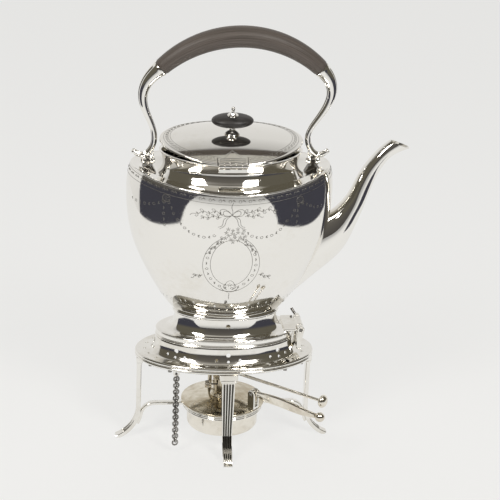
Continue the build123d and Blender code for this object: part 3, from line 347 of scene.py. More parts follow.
def darken(thing, points, depths):
    """Stores how deep the first points lie in a groove; metals darken there, as grime where polishing never reaches
    and as painted shade.
    """
    near = KDTree(len(points))
    for i, point in enumerate(to_frame(points)):
        near.insert(point, i)
    near.balance()
    depths = np.pad(depths, (0, len(points) - len(depths)))
    layer = thing.data.attributes.new("recess", "FLOAT", "POINT")
    layer.data.foreach_set("value", [depths[near.find(vertex.co)[1]] for vertex in thing.data.vertices])


def as_plain_mesh(thing):
    """Turns what the modifiers make into the object's own mesh, and takes the modifiers off."""
    bpy.context.view_layer.update()
    result = bpy.data.meshes.new_from_object(thing.evaluated_get(bpy.context.evaluated_depsgraph_get()))
    thing.modifiers.clear()
    thing.data = result
    return thing


# %% Curves through few points
def run_along(line):
    """The distance along a line at each of its points."""
    return np.concatenate([[0], np.cumsum(np.linalg.norm(np.diff(line, axis=0), axis=1))])


def point_at(distance, run, line):
    return np.array([np.interp(distance, run, line[:, axis]) for axis in range(line.shape[1])])


def even_turns(count):
    return np.linspace(0, 2 * pi, count, endpoint=False)


def smooth(points, count, even=False):
    """A natural cubic through the points, at an even share of its chord length or of its steps."""
    points = np.asarray(points, float)
    at = np.arange(len(points), dtype=float) if even else run_along(points)
    n, h = len(points), np.diff(at)
    left = np.eye(n)
    right = np.zeros_like(points)
    for i in range(1, n - 1):
        left[i, i - 1:i + 2] = h[i - 1], 2 * (h[i - 1] + h[i]), h[i]
        right[i] = 6 * ((points[i + 1] - points[i]) / h[i] - (points[i] - points[i - 1]) / h[i - 1])
    bend = np.linalg.solve(left, right)
    out = []
    for t in np.linspace(0, at[-1], count):
        i = min(int(np.searchsorted(at, t, side="right")) - 1, n - 2)
        a, b = (at[i + 1] - t) / h[i], (t - at[i]) / h[i]
        cubic = (a ** 3 - a) * bend[i] + (b ** 3 - b) * bend[i + 1]
        out.append(a * points[i] + b * points[i + 1] + cubic * h[i] ** 2 / 6)
    return np.array(out)


def soften(corners, radius, steps=4):
    """Rounds the corners of an outline in two dimensions, so that edges catch the light."""
    corners = [np.asarray(c, float) for c in corners]
    out = []
    for i, corner in enumerate(corners):
        before, after = corners[i - 1], corners[(i + 1) % len(corners)]
        reach_a, reach_b = np.linalg.norm(before - corner), np.linalg.norm(after - corner)
        if min(reach_a, reach_b) < 1e-6 or abs(corner[0]) < 1e-9:
            out.append(corner)
            continue
        start = corner + (before - corner) / reach_a * min(radius, reach_a * 0.45)
        end = corner + (after - corner) / reach_b * min(radius, reach_b * 0.45)
        for k in range(steps + 1):
            t = k / steps
            out.append((1 - t) ** 2 * start + 2 * t * (1 - t) * corner + t ** 2 * end)
    return out


def raised(z, profile):
    """An outline given from a height of its own."""
    return [(out, z + up) for out, up in profile]


def oval(z, half_length, half_depth, turns, x=0.0, y=0.0):
    """A ring of points on an ellipse at one height."""
    return np.stack([x + half_length * np.cos(turns), y + half_depth * np.sin(turns), np.full(len(turns), z)], axis=1)


def turned(profile, half_length=0.0, half_depth=0.0, count=96, radius=0.35, steps=3, x=0.0, y=0.0):
    """A closed outline of (out, height) corners carried round an oval, or round a circle when it has no size."""
    outline, turns = soften(profile, radius, steps) if radius else profile, even_turns(count)
    return skin([oval(z, half_length + out, half_depth + out, turns, x, y) for out, z in outline], closed=True)


def oval_ring(half_length, half_depth, fullness, count):
    """The oval that is a little more pointed than an ellipse, through sixteen even points."""
    turn = np.linspace(0, 2 * pi, 17)
    c, s = np.cos(turn), np.sin(turn)
    x = half_length * np.abs(c) ** (2 / fullness) * np.sign(c)
    y = half_depth * np.abs(s) ** (2 / fullness) * np.sign(s)
    knots = np.stack([x, y], axis=1)
    wrapped = np.concatenate([knots[-5:-1], knots, knots[1:5]])
    fine = smooth(wrapped, 24 * (count // 16) + 1, even=True)
    first = 4 * (count // 16)
    return fine[first:first + count]


print("helpers ready")

# %% [markdown]
# ## The kettle's body
# The body is raised from sheet. Its plan is an oval that is slightly pointed at the ends, and its side swells from
# the foot and turns in a little at the shoulder. The shoulder's edge rises towards both ends along a long arc, so
# each upright line of the mesh stops at its own height.

# %% Body
ROUND = 192
BODY_STATIONS = [(108.0, 38.7, 22.2), (114.0, 44.0, 27.0), (122.0, 49.8, 32.2), (134.0, 57.2, 39.0),
                 (148.0, 64.4, 45.4), (164.0, 71.2, 51.2), (184.0, 75.9, 55.2), (204.0, 77.3, 56.6),
                 (219.0, 76.2, 55.8), (231.0, 72.0, 52.0)]
SHOULDER_Z, SHOULDER_RISE, SHOULDER_HALF = 219.0, 7.0, 74.0
unit_oval = oval_ring(1.0, 1.0, 1.85, ROUND)
body_line = smooth(BODY_STATIONS, 400)


def body_half(z):
    return np.interp(z, body_line[:, 0], body_line[:, 1]), np.interp(z, body_line[:, 0], body_line[:, 2])


def long_arc(x, middle, rise, half):
    radius = (half ** 2 + rise ** 2) / (2 * rise)
    return middle + radius - np.sqrt(radius ** 2 - np.minimum(np.abs(x), half * 1.2) ** 2)


def plan_ring(plan, half_length, half_depth, height):
    return np.stack([half_length * plan[:, 0], half_depth * plan[:, 1], height], axis=1)


def body_ring(height, shrink=0.0):
    """Points on the body, one for each upright line, at the heights given."""
    a, b = body_half(height)
    return plan_ring(unit_oval, a - shrink, b - shrink, height)


def edge_ring(drop=0.0, shrink=0.0):
    height = np.full(ROUND, SHOULDER_Z)
    for _ in range(4):
        height = long_arc(body_ring(height)[:, 0], SHOULDER_Z, SHOULDER_RISE, SHOULDER_HALF) - drop
    return body_ring(height, shrink)


BODY_LOW, WALL = 108.0, 1.0
top = edge_ring(WALL)[:, 2]
rings = [body_ring(BODY_LOW + (top - BODY_LOW) * t) for t in np.linspace(0, 1, 76)]
rings += [body_ring(top - (top - BODY_LOW - WALL) * t, WALL) for t in np.linspace(0, 1, 30)]
body = piece("kettle_body_shell", skin(rings, closed=True), SILVER, "kettle_body", crease=50)
print("body", len(body.data.polygons), "faces")

# %% [markdown]
# ## Shoulder and neck
# The ledge is a separate pressing: a thin rolled edge, a flat that sinks towards the neck at both ends, and a
# hollow neck up to the lip. Its height is the lower of the long arc and a shallow dish, blended where they meet.

# %% Shoulder collar
NECK_STATIONS = [(214.0, 55.6, 37.8), (218.4, 53.8, 36.0), (225.0, 50.6, 32.6), (231.0, 51.2, 33.0),
                 (237.5, 53.4, 35.0)]
LEDGE_IN, DISH_OUT = (54.4, 36.6), (71.5, 53.0)
LIP_Z, LIP_RISE, LIP = 233.8, 2.6, (52.4, 34.1)
neck_line = smooth(NECK_STATIONS, 200)
neck_oval = oval_ring(1.0, 1.0, 1.95, ROUND)


def neck_ring(height, grow=0.0):
    a = np.interp(height, neck_line[:, 0], neck_line[:, 1]) + grow
    b = np.interp(height, neck_line[:, 0], neck_line[:, 2]) + grow
    return plan_ring(neck_oval, a, b, height)


outer = edge_ring()
inner, dish = unit_oval * LEDGE_IN, unit_oval * DISH_OUT
ledge_run = np.linalg.norm(outer[:, :2] - inner, axis=1)
dish_run = np.linalg.norm(dish - inner, axis=1)
rows = []
for out, rise in ((-0.9, -1.1), (0.0, -1.1), (0.32, -0.85), (0.42, -0.45), (0.32, -0.05), (0.0, 0.15), (-0.5, 0.15),
                  (-0.9, 0.0)):
    a, b = body_half(outer[:, 2])
    rows.append(plan_ring(unit_oval, a + out, b + out, outer[:, 2] + rise))
for t in np.linspace(0.95, 0.03, 22):
    plan = inner + (outer[:, :2] - inner) * t
    on_arc = long_arc(plan[:, 0], SHOULDER_Z, SHOULDER_RISE, SHOULDER_HALF)
    on_dish = 217.6 + 9.0 * t * ledge_run / dish_run
    blend = np.clip(0.5 + 0.5 * (on_dish - on_arc) / 0.8, 0, 1)
    height = on_dish * (1 - blend) + on_arc * blend - 0.8 * blend * (1 - blend)
    rows.append(np.concatenate([plan, height[:, None]], axis=1))
neck_foot = rows[-1][:, 2]
lip = np.full(ROUND, LIP_Z)
for _ in range(3):
    lip = long_arc(neck_ring(lip)[:, 0], LIP_Z, LIP_RISE, LIP[0])
for t in np.linspace(0.04, 0.93, 18):
    rows.append(neck_ring(neck_foot + (lip - neck_foot) * t))
for out, drop in ((0.25, 1.0), (0.55, 0.75), (0.62, 0.4), (0.45, 0.1), (0.0, 0.0), (-0.7, 0.0), (-1.0, 0.25),
                  (-1.0, 1.2)):
    rows.append(neck_ring(lip - drop, out))
for t in np.linspace(0.1, 1, 8):
    rows.append(neck_ring((lip - 1.2) * (1 - t) + 215.6 * t, -1.0))
collar = piece("shoulder_and_neck", skin(rows, closed=True), SILVER, "shoulder_collar", crease=60)
print("collar", len(collar.data.polygons), "faces")

# %% [markdown]
# ## Piercing with Geometry Nodes
# Holes repeat along the gallery, so they are a Geometry Nodes job: a small mesh holds one point per hole, with its
# direction and radius as attributes. The tree puts a drill on each point and takes them away in one Boolean.
# Cutting afterwards keeps the surface's own mesh simple.

# %% A small kit for node trees
def geometry_tree(name, inputs):
    """A tree that takes a geometry, the inputs named and a material, and gives a geometry."""
    inputs = {"Geometry": ("Geometry", None), **inputs, "Material": ("Material", None)}
    return group("GeometryNodeTree", name, inputs, {"Geometry": "Geometry"})


def finish_tree(tree, source, given, result):
    """Every tree ends in Realize Instances and Set Material."""
    real = add(tree, "GeometryNodeRealizeInstances", {"Geometry": source})
    feed(tree, result, {"Geometry": add(tree, "GeometryNodeSetMaterial",
                                        {"Geometry": real, "Material": given["Material"]})})


def attribute(tree, name, kind="FLOAT"):
    return add(tree, "GeometryNodeInputNamedAttribute", {"Name": name}, data_type=kind).outputs["Attribute"]


def run_tree(thing, tree, **values):
    """Sets the modifier's inputs by their sockets' identifiers, then keeps the result as a plain mesh."""
    modifier = thing.modifiers.new(tree.name, "NODES")
    modifier.node_group = tree
    for socket in tree.interface.items_tree:
        label = socket.name.replace(" ", "_").lower()
        if socket.in_out == "INPUT" and label in values:
            modifier[socket.identifier] = values[label]
    return as_plain_mesh(thing)


def marks(name, points, edges=(), **attributes):
    """A mesh of bare points, or of strokes, that carries named attributes for a tree to read."""
    mesh = bpy.data.meshes.new(name)
    mesh.from_pydata([tuple(p) for p in to_frame(points)], list(edges), [])
    for label, values in attributes.items():
        values = np.asarray(values, float)
        kind, field = ("FLOAT_VECTOR", "vector") if values.ndim == 2 else ("FLOAT", "value")
        mesh.attributes.new(label, kind, "POINT").data.foreach_set(field, values.ravel())
    return new_object(name, mesh)

# %% The piercing tree
pierce_tree, given, result = geometry_tree("pierce", {"Marks": ("Object", None), "Drill Length": ("Float", 0.01),
                                                      "Sides": ("Int", 20)})
info = add(pierce_tree, "GeometryNodeObjectInfo", {"Object": given["Marks"]})
drill = add(pierce_tree, "GeometryNodeMeshCylinder", {"Radius": 1.0, "Depth": given["Drill Length"],
                                                      "Vertices": given["Sides"]})
aim = add(pierce_tree, "FunctionNodeAlignRotationToVector",
          {"Vector": attribute(pierce_tree, "aim", "FLOAT_VECTOR")}, axis="Z")
radius = attribute(pierce_tree, "radius")
size = add(pierce_tree, "ShaderNodeCombineXYZ", {"X": radius, "Y": radius, "Z": 1.0})
drills = add(pierce_tree, "GeometryNodeInstanceOnPoints",
             {"Points": info.outputs["Geometry"], "Instance": drill, "Rotation": aim, "Scale": size})
drills = add(pierce_tree, "GeometryNodeRealizeInstances", {"Geometry": drills})
cut = add(pierce_tree, "GeometryNodeMeshBoolean", operation="DIFFERENCE", solver="EXACT")
feed(pierce_tree, cut, {"Mesh 1": given["Geometry"], "Mesh 2": drills})
finish_tree(pierce_tree, cut, given, result)


def pierce(thing, finish, holes, length):
    """Cuts holes given as (point, direction, radius), in millimetres."""
    points = marks(thing.name + "_marks", [h[0] for h in holes], aim=[h[1] for h in holes],
                   radius=[h[2] * 0.001 for h in holes])
    run_tree(thing, pierce_tree, marks=points, drill_length=length, material=finish)
    bpy.data.objects.remove(points)
    thing.data.set_sharp_from_angle(angle=radians(38))
    print(thing.name, "has", len(holes), "holes and", len(thing.data.polygons), "faces")
    return thing

# %% [markdown]
# ## Foot and bead
# The foot is a low spool on a flat flange with a reeded band. It is an oval turning: one outline, carried round
# the oval at a constant distance. The piercing tree cuts the vent hole at its front.

# %% Foot
FOOT_BAND, BAND_HEIGHT, GALLERY_TOP, FOOT_TOP = (53.7, 31.2), 6.2, 87.3, 108.0


def half_round(start, height, inset=0.0, steps=7):
    """Outline points of one reed that stands out from a band."""
    radius = height / 2
    turns = [radians(-85 + 170 * k / (steps - 1)) for k in range(steps)]
    return [(-inset - radius * (1 - cos(turn)), start + radius + radius * sin(turn)) for turn in turns]


reed = 1.5
band_top = GALLERY_TOP + BAND_HEIGHT
outline = [(-2.4, GALLERY_TOP + 0.02)] + half_round(GALLERY_TOP + 0.02, reed)
outline += half_round(GALLERY_TOP + reed, 0.9, 0.5) + [(-1.1, band_top - reed - 0.5)]
outline += half_round(band_top - reed, reed, 0.35) + [(-1.9, band_top + 0.45), (-2.6, band_top + 0.5), (-7.0, 94.0),
                                                      (-7.9, 94.0), (-7.9, 92.9), (-2.4, 92.9)]
foot_band = turned(outline, *FOOT_BAND, count=160, radius=0)
spool = smooth([(94.0, 46.0, 27.6), (95.6, 42.6, 25.2), (100.0, 40.2, 23.4), (FOOT_TOP, 39.0, 22.4)], 30)
turn = even_turns(160)
rings = [oval(z, a, b, turn) for z, a, b in spool]
rings += [oval(z - 0.3, a - 1.0, b - 1.0, turn) for z, a, b in spool[::-1]]
foot = mesh_object("kettle_foot_spool", skin(rings, closed=True), SILVER, crease=50)
VENT_Z, VENT_R = 102.4, 1.7
pierce(foot, SILVER, [((0, -24, VENT_Z), (0, 1, 0), VENT_R)], length=0.012)
settle(foot, "kettle_foot")
piece("kettle_foot_flange", foot_band, SILVER, body="kettle", crease=50)
bead = [(-3.4, FOOT_TOP - 0.9)] + half_round(FOOT_TOP - 0.9, 3.4, steps=11) + [(-3.4, FOOT_TOP + 2.5)]
piece("foot_moulding", turned(bead, 40.9, 24.3, count=160, radius=0), SILVER, "foot_bead", crease=70)
print("foot", len(foot.data.polygons), "faces")

# %% [markdown]
# ## Spout
# The swan neck is drawn in side view as an upper and a lower edge, with a width at each station, and its mouth is
# cut on a slope. A bisect makes that cut, and Solidify then gives the open tube its wall and its rim.

# %% Spout
SPOUT = [(48.0, 172.0, 50.4, 121.0, 22.0), (66.5, 182.5, 68.1, 137.6, 24.5), (76.5, 187.0, 83.4, 151.6, 23.5),
         (82.0, 191.4, 92.2, 165.0, 21.0), (86.4, 196.4, 97.4, 178.0, 18.4), (90.4, 202.6, 102.0, 190.2, 16.2),
         (94.0, 210.6, 106.4, 204.0, 14.4), (99.0, 220.6, 111.4, 216.6, 13.0), (105.4, 229.8, 117.0, 226.2, 12.4),
         (113.6, 238.8, 122.4, 231.6, 11.6), (124.0, 246.0, 129.4, 235.2, 10.8), (133.4, 249.2, 136.6, 237.8, 10.2)]
MOUTH_AT, MOUTH_SLOPE = (119.1, 243.3), 0.42
spout_line = smooth(SPOUT, 110, even=True)
around = even_turns(64)
rings = []
for x_up, z_up, x_low, z_low, width in spout_line:
    middle = np.array([(x_up + x_low) / 2, 0, (z_up + z_low) / 2])
    up = np.array([x_up - x_low, 0, z_up - z_low]) / 2
    rings.append(middle + np.outer(np.cos(around), up) + np.outer(np.sin(around), [0, width / 2, 0]))
spout = mesh_object("swan_neck_spout", skin(rings, caps=False), SILVER, crease=60)
soup = bmesh.new()
soup.from_mesh(spout.data)
cut_at = Vector(to_frame([MOUTH_AT[0], 0, MOUTH_AT[1]]))
everything = soup.verts[:] + soup.edges[:] + soup.faces[:]
bmesh.ops.bisect_plane(soup, geom=everything, plane_co=cut_at, plane_no=(MOUTH_SLOPE, 0, 1), clear_outer=True)
bmesh.ops.recalc_face_normals(soup, faces=soup.faces)
if sum((f.calc_center_median().y - SHIFT[1]) * f.normal.y for f in soup.faces) < 0:
    bmesh.ops.reverse_faces(soup, faces=soup.faces)
soup.to_mesh(spout.data)
soup.free()
wall = spout.modifiers.new("wall", "SOLIDIFY")
wall.thickness, wall.offset = 0.001, -1
settle(as_plain_mesh(spout), "spout")
spout.data.set_sharp_from_angle(angle=radians(60))
print("spout", len(spout.data.polygons), "faces")

# %% [markdown]
# ## Lid
# The lid is a thin double-curved sheet: a tight arc across its depth, swung along a long arc through its ends. It
# stands ajar on its hinge in the photograph, so every lid piece is turned by the same angle about the hinge.

# %% Lid dome
LID_CROWN, SHEET, LID_AJAR = 80.0, 1.0, radians(10.5)
HINGE = np.array([-1.8, -36.6, 234.9])
LID_TOP = LIP_Z + 0.3 + SHEET + LID_CROWN - sqrt(LID_CROWN ** 2 - LIP[1] ** 2)
end_drop = LID_TOP - (LIP_Z + LIP_RISE + 0.3 + SHEET)
LONG_R = (LIP[0] ** 2 + end_drop ** 2) / (2 * end_drop)


def lid_z(x, y, offset=0.0):
    across = LID_CROWN + offset - np.sqrt((LID_CROWN + offset) ** 2 - np.asarray(y) ** 2)
    radius = LONG_R + offset - across
    return LID_TOP - LONG_R + np.sqrt(radius ** 2 - np.asarray(x) ** 2)


def ajar(shape):
    points, faces = shape
    y, z = points[:, 1] - HINGE[1], points[:, 2] - HINGE[2]
    turned_y = y * cos(LID_AJAR) - z * sin(LID_AJAR)
    turned_z = y * sin(LID_AJAR) + z * cos(LID_AJAR)
    return np.stack([points[:, 0], HINGE[1] + turned_y, HINGE[2] + turned_z], axis=1), faces


lid_plan = oval_ring(1.0, 1.0, 1.92, ROUND)


def lid_ring(share, offset, grow=0.9):
    x, y = (LIP[0] + grow) * share * lid_plan[:, 0], (LIP[1] + grow) * share * lid_plan[:, 1]
    return np.stack([x, y, lid_z(x, y, offset)], axis=1)


rings = [lid_ring(share, 0.0) for share in np.linspace(0.03, 0.975, 40)]
rings += [lid_ring(1.0, offset, grow) for offset, grow in ((0.12, 0.2), (0.16, 0.6), (0.0, 0.85), (-0.4, 0.92),
                                                           (-0.8, 0.85), (-1.0, 0.5))]
rings += [lid_ring(share, -1.0) for share in np.linspace(0.975, 0.03, 30)]
lid = piece("lid_sheet", ajar(skin(rings, closed=True)), SILVER, "lid_dome", crease=60)
print("lid", len(lid.data.polygons), "faces")

# %% [markdown]
# ## Finial
# A turned silver base, a flat ebony pebble and a ball-topped nut. The pebble is an oval, so its rings shrink in
# both directions together; the silver parts are plain turnings with softened corners.

# %% Finial
base = [(0, 0), (5.9, 0), (6.2, 0.9), (4.6, 1.8), (2.9, 2.7), (2.3, 4.0), (2.5, 5.4), (3.9, 6.4), (3.9, 7.1),
        (0, 7.1)]
base = turned(raised(LID_TOP - 0.05, base), count=64, radius=0.6)
piece("finial_foot", ajar(base), SILVER, "finial_base", crease=60)
DISC_HALF = (15.6, 9.2, 4.0)
disc_z = LID_TOP + 7.0 + DISC_HALF[2] - 0.75
rings = []
for tilt in np.linspace(-90, 90, 30):
    spread = max(cos(radians(tilt)), 1e-4) ** 0.72
    height = DISC_HALF[2] * 1.02 * np.sign(tilt) * abs(sin(radians(tilt))) ** 0.95
    rings.append(oval(disc_z + height, DISC_HALF[0] * spread, DISC_HALF[1] * spread, around))
piece("finial_pebble", ajar(skin(rings, caps=False)), EBONY, "finial_disc", crease=80)
nut = [(0, 0), (4.2, 0), (4.0, 0.7), (2.4, 1.3), (1.3, 2.6), (1.0, 3.9), (1.5, 4.5)]
nut += [(1.55 * cos(radians(a)), 5.75 + 1.5 * sin(radians(a))) for a in range(-45, 90, 15)] + [(0, 7.25)]
nut = turned(raised(disc_z + DISC_HALF[2], nut), count=48, radius=0.25)
piece("finial_ball_nut", ajar(nut), SILVER, "finial_nut", crease=60)
print("finial made")

# %% [markdown]
# ## Gallery
# The gallery is one oval pressing: a flat flange for the rim, a hollow cove and a seat for the kettle's foot, open
# in the middle for the flame. The rim is two reeds, one over the other.

# %% Gallery and rim
PLATE, UNDERSIDE, RIM_HEIGHT, RIM_WIDTH = (69.0, 41.3), 70.2, 5.2, 3.4
FLANGE_TOP, SEAT_IN, SHEET_TURN = UNDERSIDE + RIM_HEIGHT, -22.5, 1.0
cove = smooth([(FLANGE_TOP, -11.5), (FLANGE_TOP + 3.2, -13.7), (FLANGE_TOP + 7.0, -15.1),
               (GALLERY_TOP - 0.4, -15.35)], 18)
outline = [(-RIM_WIDTH, FLANGE_TOP - SHEET_TURN), (-RIM_WIDTH, FLANGE_TOP), (-10.9, FLANGE_TOP)]
outline += [(out, z) for z, out in cove[1:]]
outline += [(-15.6, GALLERY_TOP), (SEAT_IN, GALLERY_TOP), (SEAT_IN, GALLERY_TOP - SHEET_TURN),
            (-16.4, GALLERY_TOP - SHEET_TURN)]
outline += [(out - SHEET_TURN, z - 0.6) for z, out in cove[::-1]] + [(-12.4, FLANGE_TOP - SHEET_TURN)]
rings = []
for out, z in outline:
    wider = 5.2 * min(1.0, (-out - RIM_WIDTH) / 7.4)
    drawn_in = 0.02 * (out + 11.5) if out <= -12.9 else 0.0
    rings.append(oval(z, PLATE[0] + out, PLATE[1] + out + wider + drawn_in, turn))
gallery = mesh_object("pierced_gallery", skin(rings, closed=True), STAND_SILVER, crease=42)
MOTIFS, COVE, COVE_Z, FLANGE_MID = 8, (57.5, 35.0), FLANGE_TOP + 6.8, (61.55, 36.45)
holes = []
for motif in range(MOTIFS):
    at = -pi / 2 + 2 * pi * motif / MOTIFS
    for offset, drop, size in ((0.0, 0.0, 1.7), (-0.16, 3.6, 1.1), (0.16, 3.6, 1.1), (0.0, 4.6, 1.1)):
        x, y = COVE[0] * cos(at + offset), COVE[1] * sin(at + offset)
        out = Vector((x / COVE[0] ** 2, y / COVE[1] ** 2, 0)).normalized()
        holes.append(((x - 2.0 * out.x, y - 2.0 * out.y, COVE_Z - drop), tuple(out), size))
    for offset in (0.0, pi / MOTIFS - 0.12, pi / MOTIFS + 0.12):
        x, y = FLANGE_MID[0] * cos(at + offset), FLANGE_MID[1] * sin(at + offset)
        holes.append(((x, y, FLANGE_TOP - 0.5), (0, 0, 1), 1.2))
settle(pierce(gallery, STAND_SILVER, holes, length=0.008), "gallery_plate")
reed = RIM_HEIGHT / 2
outline = [(-RIM_WIDTH, UNDERSIDE), (-0.9, UNDERSIDE)] + half_round(UNDERSIDE, reed, steps=9)
outline += half_round(UNDERSIDE + reed, reed, steps=9) + [(-0.9, FLANGE_TOP), (-RIM_WIDTH, FLANGE_TOP)]
piece("reeded_rim", turned(outline, *PLATE, count=200, radius=0), STAND_SILVER, "plate_rim", crease=60)
print("gallery", len(gallery.data.polygons), "faces")

# %% [markdown]
# ## Legs and stretchers
# A leg is a flat strap: its section, with four flutes in the outer face, is carried down a straight shaft and then
# round the outward curve of the foot. The flutes fade before the plain toe, and the sole is cut flat on the floor.

# %% Solid blocks and turned parts that lie along a line
def block(centre, size, bevel):
    soup = bmesh.new()
    bmesh.ops.create_cube(soup, size=1.0)
    bmesh.ops.scale(soup, vec=size, verts=soup.verts)
    bmesh.ops.bevel(soup, geom=soup.edges[:], offset=bevel, segments=3, profile=0.5, affect="EDGES")
    points = np.array([tuple(v.co) for v in soup.verts]) + np.asarray(centre, float)
    index = {v: i for i, v in enumerate(soup.verts)}
    faces = [tuple(index[v] for v in f.verts) for f in soup.faces]
    soup.free()
    return points, faces


def along(shape, origin, direction):
    """Turns a shape made about the upright axis so that it lies along a direction from its origin."""
    points, faces = shape
    matrix = np.array(Vector(direction).to_track_quat("Z", "Y").to_matrix())
    return points @ matrix.T + np.asarray(origin, float), faces


def turn_about_z(shape, angle, shift=(0, 0, 0)):
    points, faces = shape
    c, s = cos(angle), sin(angle)
    x, y, z = (points + np.asarray(shift, float)).T
    return np.stack([c * x - s * y, s * x + c * y, z], axis=1), faces


# %% Legs
LEG_THICK, LEG_TOP, LEG_FOOT, FLARE, FLARE_Z = 3.2, 10.4, 6.8, 17.2, 25.0
FLUTES, FLUTE_R, CORNER = 4, 0.75, 0.35
FLUTES_START_Z, FLUTES_END = 62.9, 0.80
LEG_BEND = (FLARE ** 2 + FLARE_Z ** 2) / (2 * FLARE)
LEG_SWING = atan2(FLARE_Z, LEG_BEND - FLARE)


def leg_section(z, depth):
    """Rows of (out, across, share of a flute's depth): a plain back, and a fluted front."""
    half_width = (LEG_FOOT + (LEG_TOP - LEG_FOOT) * z / UNDERSIDE) / 2
    half, side = LEG_THICK / 2, half_width - CORNER
    points = [(-half + CORNER, -half_width, 0), (-half, -side, 0), (-half, side, 0), (-half + CORNER, half_width, 0),
              (half - CORNER, half_width, 0)]
    scale = half_width / (LEG_TOP / 2)
    for across in np.linspace(side, -side, 57):
        cut = 0.0
        for i in range(FLUTES):
            middle = (i - (FLUTES - 1) / 2) * LEG_TOP / (FLUTES + 0.6) * scale
            off = abs(across - middle) / (FLUTE_R * scale)
            cut = max(cut, FLUTE_R * sqrt(max(0.0, 1 - off ** 2)))
        points.append((half - depth * cut, across, depth * cut / FLUTE_R))
    return np.array(points + [(half - CORNER, -half_width, 0)])


def leg_shape():
    """A leg with its capital, and how deep in a flute each point of the strap lies."""
    rings, depths = [], []
    for z in [*np.linspace(UNDERSIDE - 4.6, 63.4, 4), FLUTES_START_Z, 62.4, 61.8, *np.linspace(60, FLARE_Z, 8)]:
        section = leg_section(z, float(np.clip(FLUTES_START_Z - z, 0, 1)))
        rings.append(np.stack([section[:, 0], section[:, 1], np.full(len(section), z)], axis=1))
        depths.append(section[:, 2])
    for share in np.linspace(0, 1, 34)[1:]:
        swing = LEG_SWING * share
        section = leg_section(FLARE_Z - LEG_BEND * sin(swing), float(np.clip((FLUTES_END - share) / 0.03, 0, 1)))
        reach = LEG_BEND - section[:, 0]
        height = np.maximum(FLARE_Z - reach * sin(swing), 0.0)
        rings.append(np.stack([LEG_BEND - reach * cos(swing), section[:, 1], height], axis=1))
        depths.append(section[:, 2])
    cap = block((0, 0, UNDERSIDE - 2.3), (4.6, 13.8, 4.6), 0.3)
    step = block((0, 0, UNDERSIDE - 5.75), (4.0, 11.9, 2.3), 0.5)
    return join(skin(rings), cap, step), np.clip((np.concatenate(depths) - 0.35) / 0.45, 0, 1)


LEG_PLACES = {"right": (0, PLATE[0] - 3.3), "back": (pi / 2, PLATE[1] - 2.4), "left": (pi, PLATE[0] - 3.3),
              "front": (-pi / 2, PLATE[1] - 2.4)}
for side, (at, reach) in LEG_PLACES.items():
    shape, grooves = leg_shape()
    shape = turn_about_z(shape, at, (reach, 0, 0))
    leg = piece("fluted_leg_" + side, shape, STAND_SILVER, "leg_" + side, crease=32)
    darken(leg, shape[0], grooves)
print("legs", len(LEG_PLACES))

# %% Stretchers
RING_Z, RING_HEIGHT, RING_R, RING_BORE = 26.2, 4.2, 31.2, 28.1
STRAP_WIDTH, STRAP_THICK, STRAP_END_Z = 5.0, 2.2, 12.0


def strap_shape(leg_at, bend_r):
    """A strap that leaves the ring level, bends down and lies along the leg's inner face."""
    inner = LEG_BEND + LEG_THICK / 2 + 0.02
    z_top = RING_Z + RING_HEIGHT / 2 + STRAP_THICK / 2
    meet = asin((bend_r - z_top + FLARE_Z) / (bend_r + inner))
    end = asin((FLARE_Z - STRAP_END_Z) / inner)

    def on_leg(angle, thick):
        return (leg_at + LEG_BEND - (inner + thick) * cos(angle), FLARE_Z - (inner + thick) * sin(angle))

    x_bend = on_leg(meet, 0)[0] - bend_r * cos(meet)

    def on_bend(angle, thick):
        return (x_bend + (bend_r - thick) * cos(angle), z_top - bend_r + (bend_r - thick) * sin(angle))

    sides = []
    for thick in (0.0, STRAP_THICK):
        side = [(x, z_top - thick) for x in np.linspace(RING_R - 0.2, x_bend, 5)[:-1]]
        side += [on_bend(a, thick) for a in np.linspace(pi / 2, meet, 16)[:-1]]
        side += [on_leg(a, thick) for a in np.linspace(meet, end, 16)]
        sides.append(side)
    rings = []
    half, corner = STRAP_WIDTH / 2, 0.4
    for (x_a, z_a), (x_b, z_b) in zip(*sides):
        ring = []
        for share, y in ((0, -half + corner), (0, half - corner), (0.09, half - 0.1), (0.2, half), (0.8, half),
                         (0.91, half - 0.1), (1, half - corner), (1, -half + corner), (0.91, -half + 0.1),
                         (0.8, -half), (0.2, -half), (0.09, -half + 0.1)):
            ring.append((x_a + (x_b - x_a) * share, y, z_a + (z_b - z_a) * share))
        rings.append(ring)
    return skin(rings)


for side, (at, reach) in LEG_PLACES.items():
    bend_r = 11.3 if side in ("left", "right") else 5.0
    piece("stretcher_strap_" + side, turn_about_z(strap_shape(reach, bend_r), at), STAND_SILVER,
          "stretcher_" + side, crease=40)

# %% [markdown]
# ## Lamp ring and spirit lamp
# These are lathe work: a reeded ring, a straight-sided reservoir, a saucer-shaped cover with a rolled edge, the
# burner's collar and the cap that snuffs the flame. The cover has browned from the heat.

# %% Ring, reservoir and cover
outline = [(RING_BORE, RING_Z)]
for k in range(3):
    outline += half_round(RING_Z + 1.4 * k, 1.4, inset=-RING_R)
outline += [(RING_BORE, RING_Z + RING_HEIGHT)]
piece("reeded_lamp_ring", turned(outline, count=120, radius=0), STAND_SILVER, "lamp_ring", crease=60)
SAUCER_Z, SAUCER_R = RING_Z + RING_HEIGHT + 0.3, 32.5
reservoir = [(0, 10.9), (24.6, 10.9), (26.6, 11.6), (27.6, 13.6), (27.6, SAUCER_Z), (26.6, SAUCER_Z), (26.6, 13.9),
             (26.0, 12.4), (24.6, 11.9), (0, 11.9)]
piece("lamp_reservoir_cup", turned(reservoir, count=120, radius=0.6), LAMP_SILVER, "lamp_reservoir")
dome = smooth(raised(SAUCER_Z, [(31.3, 1.5), (27.6, 2.2), (20.0, 3.4), (12.0, 4.6), (6.7, 4.9)]), 28)
cover = [(out, z) for out, z in dome] + [(6.7, SAUCER_Z + 3.9)]
